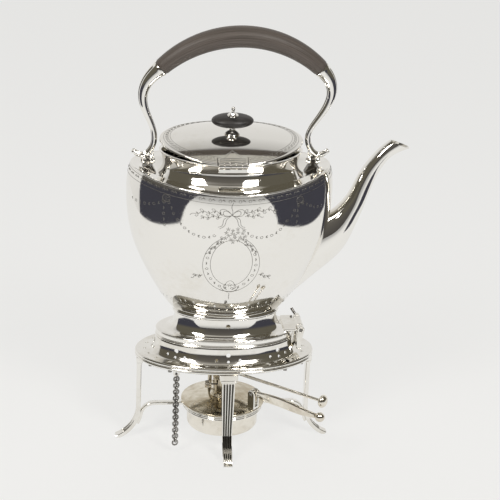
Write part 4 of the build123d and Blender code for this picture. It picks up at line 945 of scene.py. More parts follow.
cover += [(out, z - 1.0) for out, z in dome[::-1] if out < 26.0] + [(26.2, SAUCER_Z + 0.1)]
cover += half_round(SAUCER_Z + 0.05, 1.4, inset=-SAUCER_R)
piece("lamp_saucer_cover", turned(cover, count=120, radius=0), BROWNED, "lamp_cover", crease=50)
collar = raised(SAUCER_Z + 4.7, [(6.6, -1.6), (9.0, -1.6), (9.8, 0.1), (9.8, 1.0), (9.1, 1.6), (9.6, 2.3), (8.2, 3.4),
                                 (6.6, 3.4)])
piece("burner_collar", turned(collar, count=72, radius=0.3), BROWNED, "burner_nut", crease=60)
print("lamp made")

# %% Winder knob
KNOB_X, KNOB_LENGTH, KNOB_R, KNOB_RIBS = -14.6, 4.6, 3.1, 12
WINDER_Y, WINDER_Z = -4.45, 45.8
rings = []
knob_turns = even_turns(8 * KNOB_RIBS)
for t in np.linspace(0, 1, 15):
    barrel = KNOB_R * (1 - 0.22 * abs(2 * t - 1) ** 3)
    cut = 0.42 * (1 - abs(2 * t - 1) ** 6)
    reach = barrel - cut * (0.5 + 0.5 * np.cos(KNOB_RIBS * knob_turns)) ** 2
    rings.append(np.stack([np.full(len(reach), KNOB_X + KNOB_LENGTH * t), WINDER_Y + reach * np.cos(knob_turns),
                           WINDER_Z + reach * np.sin(knob_turns)], axis=1))
piece("ribbed_winder_knob", skin(rings), LAMP_SILVER, "winder_knob", crease=50)

# %% Snuffer
def at_turn(reach, turn_degrees, z):
    return np.array([reach * cos(radians(turn_degrees)), reach * sin(radians(turn_degrees)), z])


LEVER_Z, LEVER_R, CAP_LOW, KNEE_R = 56.8, 1.2, 49.95, 4.0
post, lever_end = at_turn(12.5, 140, LEVER_Z), at_turn(84.5, -35, 51.8)
knee = np.array([0, 0, LEVER_Z])


def tube(path, radius, sides=20):
    """A round bar through points, with its sections kept square to its run."""
    path = np.asarray(path, float)
    radius = np.broadcast_to(radius, len(path))
    rings = []
    for i, point in enumerate(path):
        run = Vector(path[min(i + 1, len(path) - 1)] - path[max(i - 1, 0)]).normalized()
        side = run.cross(Vector((0, 0, 1))).normalized()
        if side.length < 0.5:
            side = Vector((1, 0, 0))
        up = side.cross(run)
        turns = even_turns(sides)
        rings.append(point + radius[i] * (np.outer(np.cos(turns), side) + np.outer(np.sin(turns), up)))
    return skin(rings)


start = post * [0.86, 0.86, 1]
bend_in, bend_out = (knee + (end - knee) / np.linalg.norm(end - knee) * KNEE_R for end in (start, lever_end))
curve = [(1 - t) ** 2 * bend_in + 2 * t * (1 - t) * knee + t ** 2 * bend_out for t in np.linspace(0, 1, 9)]
hub = raised(LEVER_Z, [(1.0, -1.2), (2.6, -1.2), (2.6, 1.2), (1.0, 1.2)])
lever = join(tube([start] + curve + [lever_end - (lever_end - knee) * 0.01], LEVER_R),
             turned(hub, count=40, radius=0.4, x=post[0], y=post[1]))
piece("snuffer_rod", lever, LAMP_SILVER, "snuffer_lever", crease=50)
cap = raised(CAP_LOW, [(0, 0), (7.6, 0), (8.2, 0.3), (8.2, 1.2), (7.4, 1.8), (6.0, 3.3), (3.0, 4.5), (1.6, 4.9)])
cap += [(1.6, LEVER_Z - 0.6), (0, LEVER_Z - 0.6)]
piece("snuffer_cap_bell", turned(cap, count=72, radius=0.4), BROWNED, "snuffer_cap", crease=60)
knob = [(0, -1.6), (1.8, -1.4), (2.2, -0.6), (4.0, -0.1), (5.0, 1.1), (5.2, 2.2), (4.6, 3.6), (3.0, 4.9), (0, 5.6)]
knob = along(turned(knob, count=48, radius=0.8, steps=5), lever_end, lever_end - knee)
piece("snuffer_button", knob, LAMP_SILVER, "snuffer_knob", crease=70)

# %% Folding handle
HANDLE_TURN, FOLD = radians(-41.7), (29.2, 45.0)
upper = smooth([(2.0, 1.9), (9, 2.6), (28, 3.2), (50, 1.0), (57.6, 0.4)], 40)
lower = smooth([(2.0, -1.9), (9, -3.6), (24, -4.2), (46, -4.6), (57.6, -3.0)], 40)
rings = []
for (x_a, z_a), (x_b, z_b) in zip(upper, lower):
    ring = []
    for turn_at in even_turns(28):
        c, s = cos(turn_at), sin(turn_at)
        share = 0.5 - 0.5 * np.sign(s) * abs(s) ** 0.6
        ring.append((FOLD[0] + x_a + (x_b - x_a) * share, 1.3 * np.sign(c) * abs(c) ** 0.5,
                     FOLD[1] + z_a + (z_b - z_a) * share))
    rings.append(ring)
eye = along(turned([(1.06, -1.3), (2.8, -1.3), (2.8, 1.3), (1.06, 1.3)], count=40, radius=0.3),
            (FOLD[0], 0, FOLD[1]), (0, 1, 0))
rivets = [along(turned([(0, 0), (0.8, 0), (0.6, 0.45), (0, 0.6)], count=20, radius=0.15),
                (FOLD[0] + x, 1.25 * side, FOLD[1] - 0.6), (0, side, 0)) for x in (6.0, 14.0) for side in (-1, 1)]
handle = turn_about_z(join(skin(rings), eye, *rivets), HANDLE_TURN)
piece("lamp_handle_bar", handle, LAMP_SILVER, "lamp_handle", crease=45)
ball_turns = [radians(a) for a in range(-78, 91, 12)]
ball = [(0, -4.4), (1.7, -4.3), (1.9, -3.6)] + [(3.7 * cos(a), 3.7 * sin(a)) for a in ball_turns] + [(0, 3.7)]
ball = along(turned(ball, count=40, radius=0.1), (0, 0, 0), (1, 0, -0.05))
ball = turn_about_z(ball, HANDLE_TURN, (FOLD[0] + 61.2, 0, FOLD[1] - 1.3))
piece("lamp_handle_ball", ball, LAMP_SILVER, "handle_ball", crease=60)
print("handle made")

# %% [markdown]
# ## Bail
# Each arm is a cast bar with three reeds on its face. It leaves the wood along the arch, sweeps down in an S and
# ends in a small scroll beside the pivot. The grip is turned and bent wood, thickest in the middle, and carries
# its own UV map so that the fibres follow the arch.

# %% Bail arms
GRIP_CENTRE, GRIP_R, GRIP_SWING = (5.7, 236.9), 84.5, radians(44)
GRIP_END = (12.3, 12.5)
ARM = [(290.0, 65.8, 9.6, 11.2), (280.0, 69.3, 7.6, 9.6), (269.2, 67.3, 6.0, 8.0), (258.5, 61.8, 4.8, 6.6),
       (247.0, 57.2, 4.4, 5.8), (237.4, 58.9, 4.4, 5.6), (231.8, 65.4, 4.4, 5.6), (235.0, 72.6, 3.8, 4.6)]
ARM_ROWS, ARM_LEAN, ARM_LEAN_Z = 90, 0.115, 248.0
PIVOT_X, PIVOT_Z, PIVOT_GAP = 61.5, 227.5, 2.9


def on_grip(angle):
    """A point on the arch at an angle from upright, positive towards the spout."""
    return np.array([GRIP_CENTRE[0] + GRIP_R * sin(angle), 0, GRIP_CENTRE[1] + GRIP_R * cos(angle)])


def arm_shape(side):
    """An arm with its forked eye, and how deep in a groove each point of the bar lies."""
    x, _, z = on_grip(side * GRIP_SWING)
    rows = [(x, z, *GRIP_END)]
    for z, half_span, thick, width in ARM:
        rows.append((side * half_span + ARM_LEAN * max(0.0, z - ARM_LEAN_Z), z, thick, width))
    line = smooth(rows, ARM_ROWS)
    rings, grooves = [], []
    turns = even_turns(72)
    for i, (x, z, thick, width) in enumerate(line):
        (x_a, z_a), (x_b, z_b) = line[max(i - 1, 0)][:2], line[min(i + 1, ARM_ROWS - 1)][:2]
        run = np.array([x_b - x_a, 0, z_b - z_a]) / hypot(x_b - x_a, z_b - z_a)
        if i == 0:
            run = np.array([side * cos(GRIP_SWING), 0, -sin(GRIP_SWING)])
        normal = np.array([-run[2], 0, run[0]])
        share = i / (ARM_ROWS - 1)
        reed = np.exp(-((np.abs(np.cos(turns)) - 0.36) / 0.10) ** 2) * float(np.clip((share - 0.02) / 0.05, 0, 1))
        grooves.append(0.85 * np.clip((reed - 0.45) / 0.4, 0, 1))
        lip = 1.0 + 0.05 * exp(-((share - 0.012) / 0.010) ** 2)
        rings.append(np.array([x, 0, z]) + np.outer(np.cos(turns) * width / 2 * lip, [0, 1, 0])
                     + np.outer(np.sin(turns) * thick / 2 * lip * (1 - 0.26 * reed), normal))
    tip = rings[-1].mean(axis=0)
    last = rings[-1] - tip
    rings += [tip + run * step + last * shrink for shrink, step in ((0.8, 0.5), (0.45, 0.85))]
    parts = [skin(rings)]
    eye = turned([(1.16, -1.1), (3.2, -1.1), (3.2, 1.1), (1.16, 1.1)], count=40, radius=0.4)
    for x, height in ((-1, 9.4), (1, 5.2)):
        at = side * (PIVOT_X + x * PIVOT_GAP)
        parts += [along(eye, (at, 0, PIVOT_Z), (1, 0, 0)),
                  block((at, 0, PIVOT_Z + height / 2 + 1.2), (2.2, 4.8, height - 2.4), 0.4)]
    return join(*parts), np.concatenate(grooves)


for side, word in ((-1, "left"), (1, "right")):
    shape, grooves = arm_shape(side)
    arm = piece("reeded_bail_arm_" + word, shape, SILVER, "bail_arm_" + word, crease=50)
    darken(arm, shape[0], grooves)

# %% Wooden grip
GRIP_MID, GRIP_ROWS = (16.0, 17.0), 96
rings, turns = [], even_turns(64)
for share in np.linspace(-1, 1, GRIP_ROWS):
    angle = share * GRIP_SWING * 0.999
    edge = 1 - 0.10 * exp((abs(share) - 1) / 0.006)
    height, width = (edge / 2 * (end + (mid - end) * (1 - share ** 2)) for end, mid in zip(GRIP_END, GRIP_MID))
    rings.append(on_grip(angle) + np.outer(-np.cos(turns) * height, [sin(angle), 0, cos(angle)])
                 + np.outer(np.sin(turns) * width, [0, 1, 0]))
grip = mesh_object("wooden_grip", skin(rings), GRIP_WOOD, crease=60)
layer = grip.data.uv_layers.new(name="grain")
for face in grip.data.polygons:
    placed = []
    for loop in face.loop_indices:
        x, y, z = (np.array(grip.data.vertices[grip.data.loops[loop].vertex_index].co) - SHIFT) * 1000
        x, z = x - GRIP_CENTRE[0], z - GRIP_CENTRE[1]
        placed.append((loop, (atan2(y, GRIP_R - hypot(x, z)) / (2 * pi)) % 1.0, atan2(x, z) / (2 * GRIP_SWING) + 0.5))
    wraps = max(p[1] for p in placed) - min(p[1] for p in placed) > 0.5
    for loop, u, v in placed:
        layer.data[loop].uv = (u + 1.0 if wraps and u < 0.5 else u, v)
settle(grip, "bail_grip")
print("bail made")

# %% [markdown]
# ## Cast fittings
# The ears, brackets and hinge leaves are small castings with rounded edges. A copy of each CAD node is merged and
# remeshed at 0.2 to 0.24 mm, then relaxed, which rounds every edge as filing and polishing would.

# %% Castings from the CAD nodes
def cast(node, finish, voxel=0.24, relax=3, crease=70):
    thing = new_object(node + "_casting", NODES[node].data.copy())
    soup = bmesh.new()
    soup.from_mesh(thing.data)
    bmesh.ops.remove_doubles(soup, verts=soup.verts, dist=1e-6)
    soup.to_mesh(thing.data)
    soup.free()
    remesh = thing.modifiers.new("remesh", "REMESH")
    remesh.mode, remesh.voxel_size, remesh.use_smooth_shade = "VOXEL", voxel * 0.001, True
    ease = thing.modifiers.new("relax", "SMOOTH")
    ease.factor, ease.iterations = 0.5, relax
    as_plain_mesh(thing)
    thing.data.materials.clear()
    thing.data.materials.append(finish)
    thing.data.shade_smooth()
    return settle(thing, node)


for node in ("bail_lug_left", "bail_lug_right"):
    cast(node, AGED_SILVER, relax=6)
for node in ("pour_bracket", "pour_knuckle", "handle_bracket"):
    cast(node, STAND_SILVER)
for node in ("lid_hinge_leaf", "lid_hinge_plate"):
    cast(node, SILVER, voxel=0.2, relax=2)
print("castings made")

# %% [markdown]
# ## Chain
# The chain is the plainest repeat: one ring, stood on each point of a line and turned a quarter every time. The
# tree's inputs are the link's radius and wire, the pitch and the count.

# %% Chain tree
chain_tree, given, result = geometry_tree("chain", {"Link Radius": ("Float", 0.002), "Wire Radius": ("Float", 0.0006),
                                                    "Pitch": ("Float", 0.0027), "Count": ("Int", 22)})
QUARTER, CHAIN_TWIST = pi / 2, 0.25
step = add(chain_tree, "ShaderNodeCombineXYZ", {"Z": math(chain_tree, "MULTIPLY", given["Pitch"], -1.0)})
line = add(chain_tree, "GeometryNodeMeshLine", {"Offset": step, "Count": given["Count"]})
ring = add(chain_tree, "GeometryNodeCurvePrimitiveCircle", {"Resolution": 28, "Radius": given["Link Radius"]})
wire = add(chain_tree, "GeometryNodeCurvePrimitiveCircle", {"Resolution": 10, "Radius": given["Wire Radius"]})
link = add(chain_tree, "GeometryNodeCurveToMesh", {"Curve": ring, "Profile Curve": wire})
odd = math(chain_tree, "MODULO", add(chain_tree, "GeometryNodeInputIndex").outputs["Index"], 2.0)
spin = add(chain_tree, "ShaderNodeCombineXYZ",
           {"X": QUARTER, "Z": math(chain_tree, "MULTIPLY_ADD", odd, QUARTER, QUARTER + CHAIN_TWIST)})
hang = add(chain_tree, "GeometryNodeInstanceOnPoints", {"Points": line, "Instance": link, "Rotation": spin})
finish_tree(chain_tree, hang, given, result)

# %% Chain
CHAIN_AT, LINK_R, LINK_PITCH, LINKS, FIRST_LINK = (-38.9, -30.0), 2.0, 2.7, 22, 65.45
chain = marks("belcher_chain", [(0, 0, 0)])
run_tree(chain, chain_tree, link_radius=LINK_R * 0.001, wire_radius=0.00066, pitch=LINK_PITCH * 0.001, count=LINKS,
         material=STEEL)
chain.data.transform(Matrix.Translation(Vector(to_frame((*CHAIN_AT, FIRST_LINK)))))
chain.data.shade_smooth()
settle(chain, "chain_links")
print("chain", len(chain.data.polygons), "faces")

# %% [markdown]
# ## Engraving
# The decoration is bright-cut engraving: thin dark strokes, each drawn by hand with a graver. Every stroke is a row
# of points on the surface, found by casting a ray from outside. One tree turns strokes into a fine line, and another
# sets the little cut marks (husks, petals and dots) on points, each turned to its direction and to the surface.

# %% Stroke tree and mark tree
stroke_tree, given, result = geometry_tree("strokes", {"Width": ("Float", 0.0003)})
path = add(stroke_tree, "GeometryNodeMeshToCurve", {"Mesh": given["Geometry"]})
section = add(stroke_tree, "GeometryNodeCurvePrimitiveCircle",
              {"Resolution": 4, "Radius": math(stroke_tree, "MULTIPLY", given["Width"], 0.5)})
sweep = add(stroke_tree, "GeometryNodeCurveToMesh", {"Curve": path, "Profile Curve": section, "Fill Caps": True})
finish_tree(stroke_tree, sweep, given, result)

CUT_HEIGHT = 0.00022
mark_tree, given, result = geometry_tree("cut marks", {"Length": ("Float", 0.0012), "Width": ("Float", 0.0006)})
grain_of_cut = add(mark_tree, "GeometryNodeMeshUVSphere", {"Segments": 6, "Rings": 4, "Radius": 0.5})
flat = add(mark_tree, "ShaderNodeCombineXYZ", {"X": given["Length"], "Y": given["Width"], "Z": CUT_HEIGHT})
shaped = add(mark_tree, "GeometryNodeTransform", {"Geometry": grain_of_cut, "Scale": flat})
stand_up = add(mark_tree, "FunctionNodeAlignRotationToVector",
               {"Vector": attribute(mark_tree, "out", "FLOAT_VECTOR")}, axis="Z")
point_on = add(mark_tree, "FunctionNodeAlignRotationToVector",
               {"Rotation": stand_up, "Vector": attribute(mark_tree, "aim", "FLOAT_VECTOR")}, axis="X",
               pivot_axis="Z")
strew = add(mark_tree, "GeometryNodeInstanceOnPoints",
            {"Points": given["Geometry"], "Instance": shaped, "Rotation": point_on,
             "Scale": attribute(mark_tree, "scale")})
finish_tree(mark_tree, strew, given, result)

# %% A drawing that is laid on a surface
class Drawing:
    """Strokes and cut marks in two flat coordinates, which `place` carries to (point, outward normal)."""

    def __init__(self, place=None):
        self.place, self.points, self.edges, self.marks = place, [], [], []

    def trace(self, points, closed=False):
        """A stroke through points that are in space already."""
        start, count = len(self.points), len(points)
        self.points += [tuple(p) for p in points]
        self.edges += [(start + i, start + (i + 1) % count) for i in range(count if closed else count - 1)]

    def stroke(self, points, closed=False):
        self.trace([self.place(*p)[0] for p in points], closed)

    def curve(self, points, count=24):
        self.stroke(smooth(points, count))

    def mark(self, point, heading, scale=1.0):
        """One husk-shaped cut, turned to a heading in degrees."""
        at, out = self.place(*point)
        ahead = self.place(point[0] + 0.2 * cos(radians(heading)), point[1] + 0.2 * sin(radians(heading)))[0]
        self.marks.append((at, np.array(ahead) - np.array(at), out, scale))

    def flower(self, point, reach=1.0, petals=5):
        for i in range(petals):
            a = 360 * i / petals + 20
            self.mark((point[0] + reach * cos(radians(a)), point[1] + reach * sin(radians(a))), a, 0.8)

    def husks(self, points, spacing=1.9, first=0, ring_radius=1.05):
        """Rings and pairs of leaves in turn along a curve, with a dot between each two."""
        line = smooth(points, 200) if len(points) < 20 else np.asarray(points)
        run = run_along(line)
        for k in range(int(run[-1] / spacing) + 1):
            x, z = point_at(k * spacing, run, line)
            x_ahead, z_ahead = point_at(k * spacing + 0.3, run, line)
            heading = degrees(atan2(z_ahead - z, x_ahead - x))
            kind = (k + first) % 4
            if kind == 0:
                self.stroke(ellipse(x, z, ring_radius, ring_radius * 0.85, 8), closed=True)
            elif kind == 2:
                self.mark((x, z + 0.5), heading + 30, 1.15)
                self.mark((x, z - 0.5), heading - 30, 1.15)
            else:
                self.mark((x, z), heading, 0.5)

    def branch(self, points, leaf=2.2, spacing=3.4, wave=0.8):
        """A wavy stem with a curled leaf on each crest."""
        line = smooth(points, 80)
        run = run_along(line)
        square = np.gradient(line, axis=0)
        square = np.stack([-square[:, 1], square[:, 0]], axis=1) / np.linalg.norm(square, axis=1)[:, None]
        line = line + square * (wave * np.sin(run * pi / spacing))[:, None]
        self.stroke(line)
        for k in range(int(run[-1] / spacing)):
            side = 1 if k % 2 == 0 else -1
            at, ahead = (point_at((k + 0.5) * spacing + step, run, line) for step in (0.0, 0.5))
            forward = (ahead - at) / max(1e-6, np.linalg.norm(ahead - at))
            up = side * np.array([-forward[1], forward[0]])
            heading = degrees(atan2(forward[1], forward[0]))
            curl = ((0, 0), (0.5, 0.1), (0.75, 0.6), (0.45, 0.95), (0.2, 0.55))
            self.stroke([at + leaf * (rise * up + on * forward) for rise, on in curl])
            self.mark(tuple(at - 0.35 * leaf * up + 0.2 * leaf * forward), heading - side * 50, 1.2)

    def lines(self, name, width, finish, body_piece):
        """The strokes as one piece."""
        lines = run_tree(marks(name, self.points, self.edges), stroke_tree, width=width, material=finish)
        settle(lines, body=body_piece)

    def cut_into(self, name, body_piece, width=0.00046, length=0.0019, breadth=0.0009):
        """The strokes and the cut marks as two pieces."""
        self.lines(name + "_lines", width, CUT_AND_SHADOW_LINE, body_piece)
        spots, aims, outs, scales = zip(*self.marks)
        cuts = marks(name + "_cuts", spots, aim=aims, out=outs, scale=scales)
        settle(run_tree(cuts, mark_tree, length=length, width=breadth, material=CUT_AND_SHADOW_LINE), body=body_piece)
        print(name, len(self.points), "points,", len(spots), "cuts,", len(cuts.data.polygons), "faces")

# %% Rays onto a surface
def surface_of(thing):
    soup = bmesh.new()
    soup.from_mesh(thing.data)
    found = BVHTree.FromBMesh(soup)
    soup.free()
    return found


def ray(tree, start, direction, sink=0.05):
    """The first point of a surface along a ray, in millimetres, sunk a little so that a stroke lies half in it."""
    spot, normal, _, _ = tree.ray_cast(Vector(to_frame(start)), Vector(direction))
    if normal.dot(Vector(direction)) > 0:
        normal = -normal
    return tuple((np.array(spot) - SHIFT) * 1000 - sink * np.array(normal)), tuple(normal)


body_surface = surface_of(body)


def on_front(side):
    """Flat coordinates are millimetres to the right and up, seen square from the front or the back."""
    return lambda x, z: ray(body_surface, (x, side * 200, z), (0, -side, 0))


PER_DEGREE = 1.2


def round_body(side):
    """Flat coordinates are millimetres round the side, PER_DEGREE for each degree, and up."""
    def place(u, z):
        a = radians(u / PER_DEGREE)
        return ray(body_surface, (200 * sin(a), side * 200 * cos(a), z), (-sin(a), -side * cos(a), 0))
    return place


# %% Cartouche, bow and swags
def ellipse(x, z, half_width, half_height, count=72, start=0.0, stop=360.0):
    turn_at = np.radians(np.linspace(start, stop, count, endpoint=stop - start < 360))
    return np.stack([x + half_width * np.cos(turn_at), z + half_height * np.sin(turn_at)], axis=1)


def placed(points, at=(0, 0), side=1, grow=1.0):
    """Points from a spot, mirrored for the left side and scaled."""
    return [(at[0] + side * grow * x, at[1] + grow * z) for x, z in points]


def front_drawing(side):
    art = Drawing(on_front(side))
    middle, height = -2.4, 165.0
    art.stroke(ellipse(middle, height, 15.3, 19.9), closed=True)
    art.stroke(ellipse(middle, height - 1.5, 20.8, 24.2, start=-245, stop=65))
    art.husks(ellipse(middle, height - 0.8, 18.1, 22.0, 160, -240, 60), 2.4, first=1)
    art.curve(placed([(-3.4, 143.2), (-3.2, 146.2), (0, 149.6), (3.2, 146.2), (3.4, 143.2)], (middle, 0)), 20)
    art.flower((middle, 145.4), 1.2, 5)
    for across in (-1, 1):
        art.curve(placed([(0, 138.6), (3.4, 139.6), (6.4, 142.6)], (middle, 0), across), 10)
        art.curve(placed([(2.0, 141.0), (4.6, 143.6), (3.0, 146.6)], (middle, 0), across), 12)
        for spot in placed([(1.8, 139.0), (3.5, 139.5), (5.2, 140.0), (6.9, 140.5)], (middle, 0), across):
            art.mark(spot, 90 - across * 50, 1.1)
    art.stroke([(middle, 137.4), (middle, 131.2)])
    for z in (136.6, 135.0, 133.2):
        art.mark((middle, z), 90, 0.9)
    art.branch([(-23.0, 153.8), (-26.4, 152.6), (-31.0, 150.2)], 2.0, 3.0)
    art.branch([(18.4, 153.9), (22.6, 152.6), (28.0, 149.2)], 2.0, 3.0)
    for across in (-1, 1):
        art.branch(placed([(12.0, 180.6), (9.2, 183.0), (7.0, 187.4)], (middle, 0), across), 1.9, 2.6)
        art.branch(placed([(12.0, 180.6), (15.6, 176.2), (18.4, 171.8)], (middle, 0), across), 1.5, 3.0)
    for i in range(17):
        a, r = 2.4 * i, 1.9 * sqrt(i)
        x, z = middle + 1.0 + 1.15 * r * cos(a), 189.0 + 0.78 * r * sin(a)
        art.flower((x, z), 1.1, 5)
        art.stroke(ellipse(x, z, 0.45, 0.45, 6), closed=True)
    knot = (-3.8, 204.4)
    loop = [(0, 0), (3.2, 3.4), (8.2, 4.0), (8.6, 1.0), (4.4, -0.8), (0, 0)]
    for across in (-1, 1):
        for grow in (1.0, 0.72):
            art.curve(placed(loop, knot, across, grow), 26)
        art.curve(placed([(0, 0), (3.8, -3.6), (5.2, -8.0), (8.6, -10.6)], knot, across), 18)
        art.curve(placed([(1.0, -0.6), (6.0, -3.8), (7.0, -8.2), (9.8, -9.4)], knot, across), 18)
    art.curve([(-3.0, 214.0), (-4.2, 210.2), (-3.4, 207.4), knot], 12)
    art.branch([(-9.8, 204.9), (-15.0, 206.6), (-20.5, 206.0), (-27.0, 205.4), (-33.4, 202.3)], 2.6, 4.2)
    art.branch([(-11.4, 203.0), (-18.0, 202.8), (-26.0, 200.8)], 1.8, 3.6)
    art.branch([(4.3, 205.0), (10.0, 207.4), (15.8, 207.4), (22.6, 207.6), (29.2, 206.3)], 2.6, 4.2)
    art.branch([(5.6, 203.2), (12.0, 203.8), (19.4, 202.8)], 1.8, 3.6)
    art.husks([(-42.1, 197.4), (-34.0, 189.4), (-25.0, 186.3), (-17.2, 187.4), (-13.0, 190.2)])
    art.husks([(37.4, 196.8), (29.2, 188.4), (17.6, 186.2), (11.6, 187.6), (8.0, 190.6)])
    return art


def side_drawing(side):
    art = Drawing(round_body(side))
    for corner, rosette, out_points in (
            (-1, (-51, 212.4), [(-53, 209.6), (-57, 207.0), (-64, 204.4), (-72, 203.3), (-80, 204.6)]),
            (1, (47.5, 211.4), [(50, 209.0), (54, 206.2), (62, 202.2), (68, 201.0)])):
        centre = (rosette[0] * PER_DEGREE, rosette[1])
        for reach, petals in ((2.2, 8), (1.1, 5)):
            art.flower(centre, reach, petals)
        art.stroke(ellipse(*centre, 3.2, 2.7, 20), closed=True)
        x, z = centre
        art.husks([(x - 1.6, z - 3.4), (x - 1.9, z - 12), (x - 1.5, 191.0)], 2.2)
        art.husks([(x + 2.6, z - 3.0), (x - corner * 6.0, 203.0), (x - corner * 7.5, 197.6)], 2.2)
        art.husks([(u * PER_DEGREE, z) for u, z in out_points], 2.2)
    return art


# %% Borders
def facing(at, half_length, half_depth):
    """The level direction straight out of an oval at a point."""
    out = np.array([at[0] / half_length ** 2, at[1] / half_depth ** 2, 0.0])
    return out / np.linalg.norm(out)


def border_drawing():
    """Two lines round the shoulder with rings and leaves between them, and two rows of dots near the foot."""
    art, up = Drawing(), np.array([0, 0, 1.0])
    upper, row, lower = (body_ring(edge_ring()[:, 2] - drop, 0.08) for drop in (1.9, 4.3, 6.8))
    for line in (upper, lower):
        art.trace(line, closed=True)
    closed = np.vstack([row, row[:1]])
    run = run_along(closed)
    repeats = int(run[-1] / 7.2)
    for k in range(repeats):
        for share, lift, turn_by in ((0.0, 0.0, None), (0.30, 0.75, 35), (0.45, 0.3, -30), (0.58, -0.5, 30),
                                     (0.72, -0.8, -35)):
            s = (k + share) / repeats * run[-1]
            at, after = point_at(s, run, closed), point_at(min(s + 0.4, run[-1]), run, closed)
            onward = (after - at) / np.linalg.norm(after - at)
            if turn_by is None:
                art.trace([at + 1.05 * (onward * cos(a) + up * sin(a)) for a in even_turns(8)], closed=True)
            else:
                aim = onward * cos(radians(turn_by)) + up * sin(radians(turn_by))
                art.marks.append((at + up * lift, aim, facing(at, 76, 56), 1.0))
    for late, height in enumerate((122.5, 124.6)):
        ring = body_ring(np.full(ROUND, height), 0.05)
        for k in range(0, ROUND, 2):
            at = ring[k + (k // 2 + late) % 2]
            art.marks.append((at, up, facing(at, 50, 32), 0.55))
    return art


for side, word in ((-1, "front"), (1, "back")):
    front_drawing(side).cut_into("engraved_cartouche_" + word, "kettle")
    side_drawing(side).cut_into("engraved_swags_" + word, "kettle")
border_drawing().cut_into("engraved_borders", "kettle")

# %% Lid border
lid_surface = surface_of(lid)


def on_lid(u, inward):
    """Flat coordinates are millimetres round the lid, 1.25 degrees for each, and millimetres in from its edge."""
    a, reach = radians(u * 1.25), 1.0 - inward / 43.0
    x, y = (LIP[0] + 0.9) * reach * cos(a), (LIP[1] + 0.9) * reach * sin(a)
    return ray(lid_surface, (x, y * cos(LID_AJAR), 300), (0, 0, -1), 0.03)


LID_ROUND, LID_REPEATS = 288, 58
lid_art = Drawing(on_lid)
for inward in (2.6, 6.4):
    lid_art.stroke([(u, inward) for u in np.linspace(0, LID_ROUND, 193)[:-1]], closed=True)
for u in np.linspace(0, LID_ROUND, LID_REPEATS, endpoint=False):
    lid_art.stroke(ellipse(u, 4.5, 0.8, 0.8, 8), closed=True)
    lid_art.mark((u + 1.9, 5.2), 30, 0.9)
    lid_art.mark((u + 3.0, 3.9), -30, 0.9)
lid_art.cut_into("engraved_lid_border", "lid", width=0.00034)

# %% Hinge leaf: a painted shadow line round it, a stepped outline and reeds across it
def on_leaf(lift):
    """Flat coordinates are millimetres from the hinge's middle and back from its axis, before the lid is ajar."""
    def place(x, y):
        x, y = HINGE[0] + x, HINGE[1] + y
        return tuple(ajar((np.array([[x, y, float(lid_z(x, y)) + lift]]), []))[0][0]), (0, 0, 1)
    return place


def leaf_outline(grow):
    half, shoulder, tip = 10.8 + grow, 7.2 + grow, 14.0 + grow
    right = smooth([(half, shoulder), (half * 0.72, shoulder + 0.7), (half * 0.45, shoulder + 2.6), (0, tip)], 16)
    left = right[::-1] * [-1, 1]
    return np.vstack([[(half, 1.2)], right, left[1:], [(-half, 1.2)]])


leaf_reeds = [[(x, back) for x in np.linspace(-9.6, 9.6, 12)] for back in (2.6, 4.2, 5.8)]
# hinge_leaf_shadow is painted shadow: a dark line on the lid just outside the leaf, where the gap under its edge lies
# in shade.
for name, lift, strokes, width, finish in (("hinge_leaf_shadow", 0.2, [leaf_outline(0.3)], 0.0008, CUT_AND_SHADOW_LINE),
                                           ("hinge_leaf_step", 1.3, [leaf_outline(-1.5)], 0.0005, CUT_AND_SHADOW_LINE),
                                           ("hinge_leaf_reeds", 1.35, leaf_reeds, 0.0009, STAND_SILVER)):
    art = Drawing(on_leaf(lift))
    for points in strokes:
        art.stroke(points)
    art.lines(name, width, finish, "lid")
print("lid engraved")

# %% [markdown]
# ## Nodes that keep their CAD shape
# Pins, screws, rivets, the wick and the hidden parts are right as they are. They only take their finish.

# %% Carried-over nodes
KEPT = {"pour_pin": STEEL, "chain_staple": STAND_SILVER, "rim_screws": STEEL, "bail_pins": STAND_SILVER,
        "lid_hinge_pin": SILVER, "finial_stud": STEEL, "lid_washer": SILVER, "grip_pins": BRASS, "wick_tube": BROWNED,
        "wick": COTTON, "winder_spindle": STEEL, "snuffer_post": BROWNED, "handle_pin": STEEL}
for node, finish in KEPT.items():
    NODES[node].data.materials.clear()
    NODES[node].data.materials.append(finish)
print("kept", len(KEPT))

# %% [markdown]
# ## Floor and light
# Silver shows what is round it. Here that is a pale floor, two soft lights high at the front, a pale back and dark
# sides, which give the dark patches on the shoulders. The floor and the world are plain and pale. The dark sides
# are a box and a sheet on the stage that only reflections show. The world's diffuse light has the same colours.

# %% Floor
PALE, REACH = 0.86, 4.0


def stage_mesh(name, points, faces):
    """A mesh on the stage, and the empty tree of its new material."""
    mesh = bpy.data.meshes.new(name)
    mesh.from_pydata(points, [], faces)
    thing = new_object(name, mesh)
    finish = new_material(name.replace("_", " "))[0]
    finish.node_tree.nodes.clear()
    mesh.materials.append(finish)
    return thing, finish.node_tree


def only_reflected(thing):
    thing.visible_camera = thing.visible_diffuse = thing.visible_shadow = False


def square(height):
    return [(x, y, height) for x, y in ((-REACH, -REACH), (REACH, -REACH), (REACH, REACH), (-REACH, REACH))]


floor, tree = stage_mesh("floor", square(0.0), [(0, 1, 2, 3)])
paper = add(tree, "ShaderNodeBsdfDiffuse", {"Color": (0.84, 0.835, 0.82, 1)})
glow = add(tree, "ShaderNodeEmission", {"Color": (0.93, 0.93, 0.92, 1)})
add(tree, "ShaderNodeOutputMaterial", {"Surface": add(tree, "ShaderNodeMixShader", {0: 0.74, 1: paper, 2: glow})})

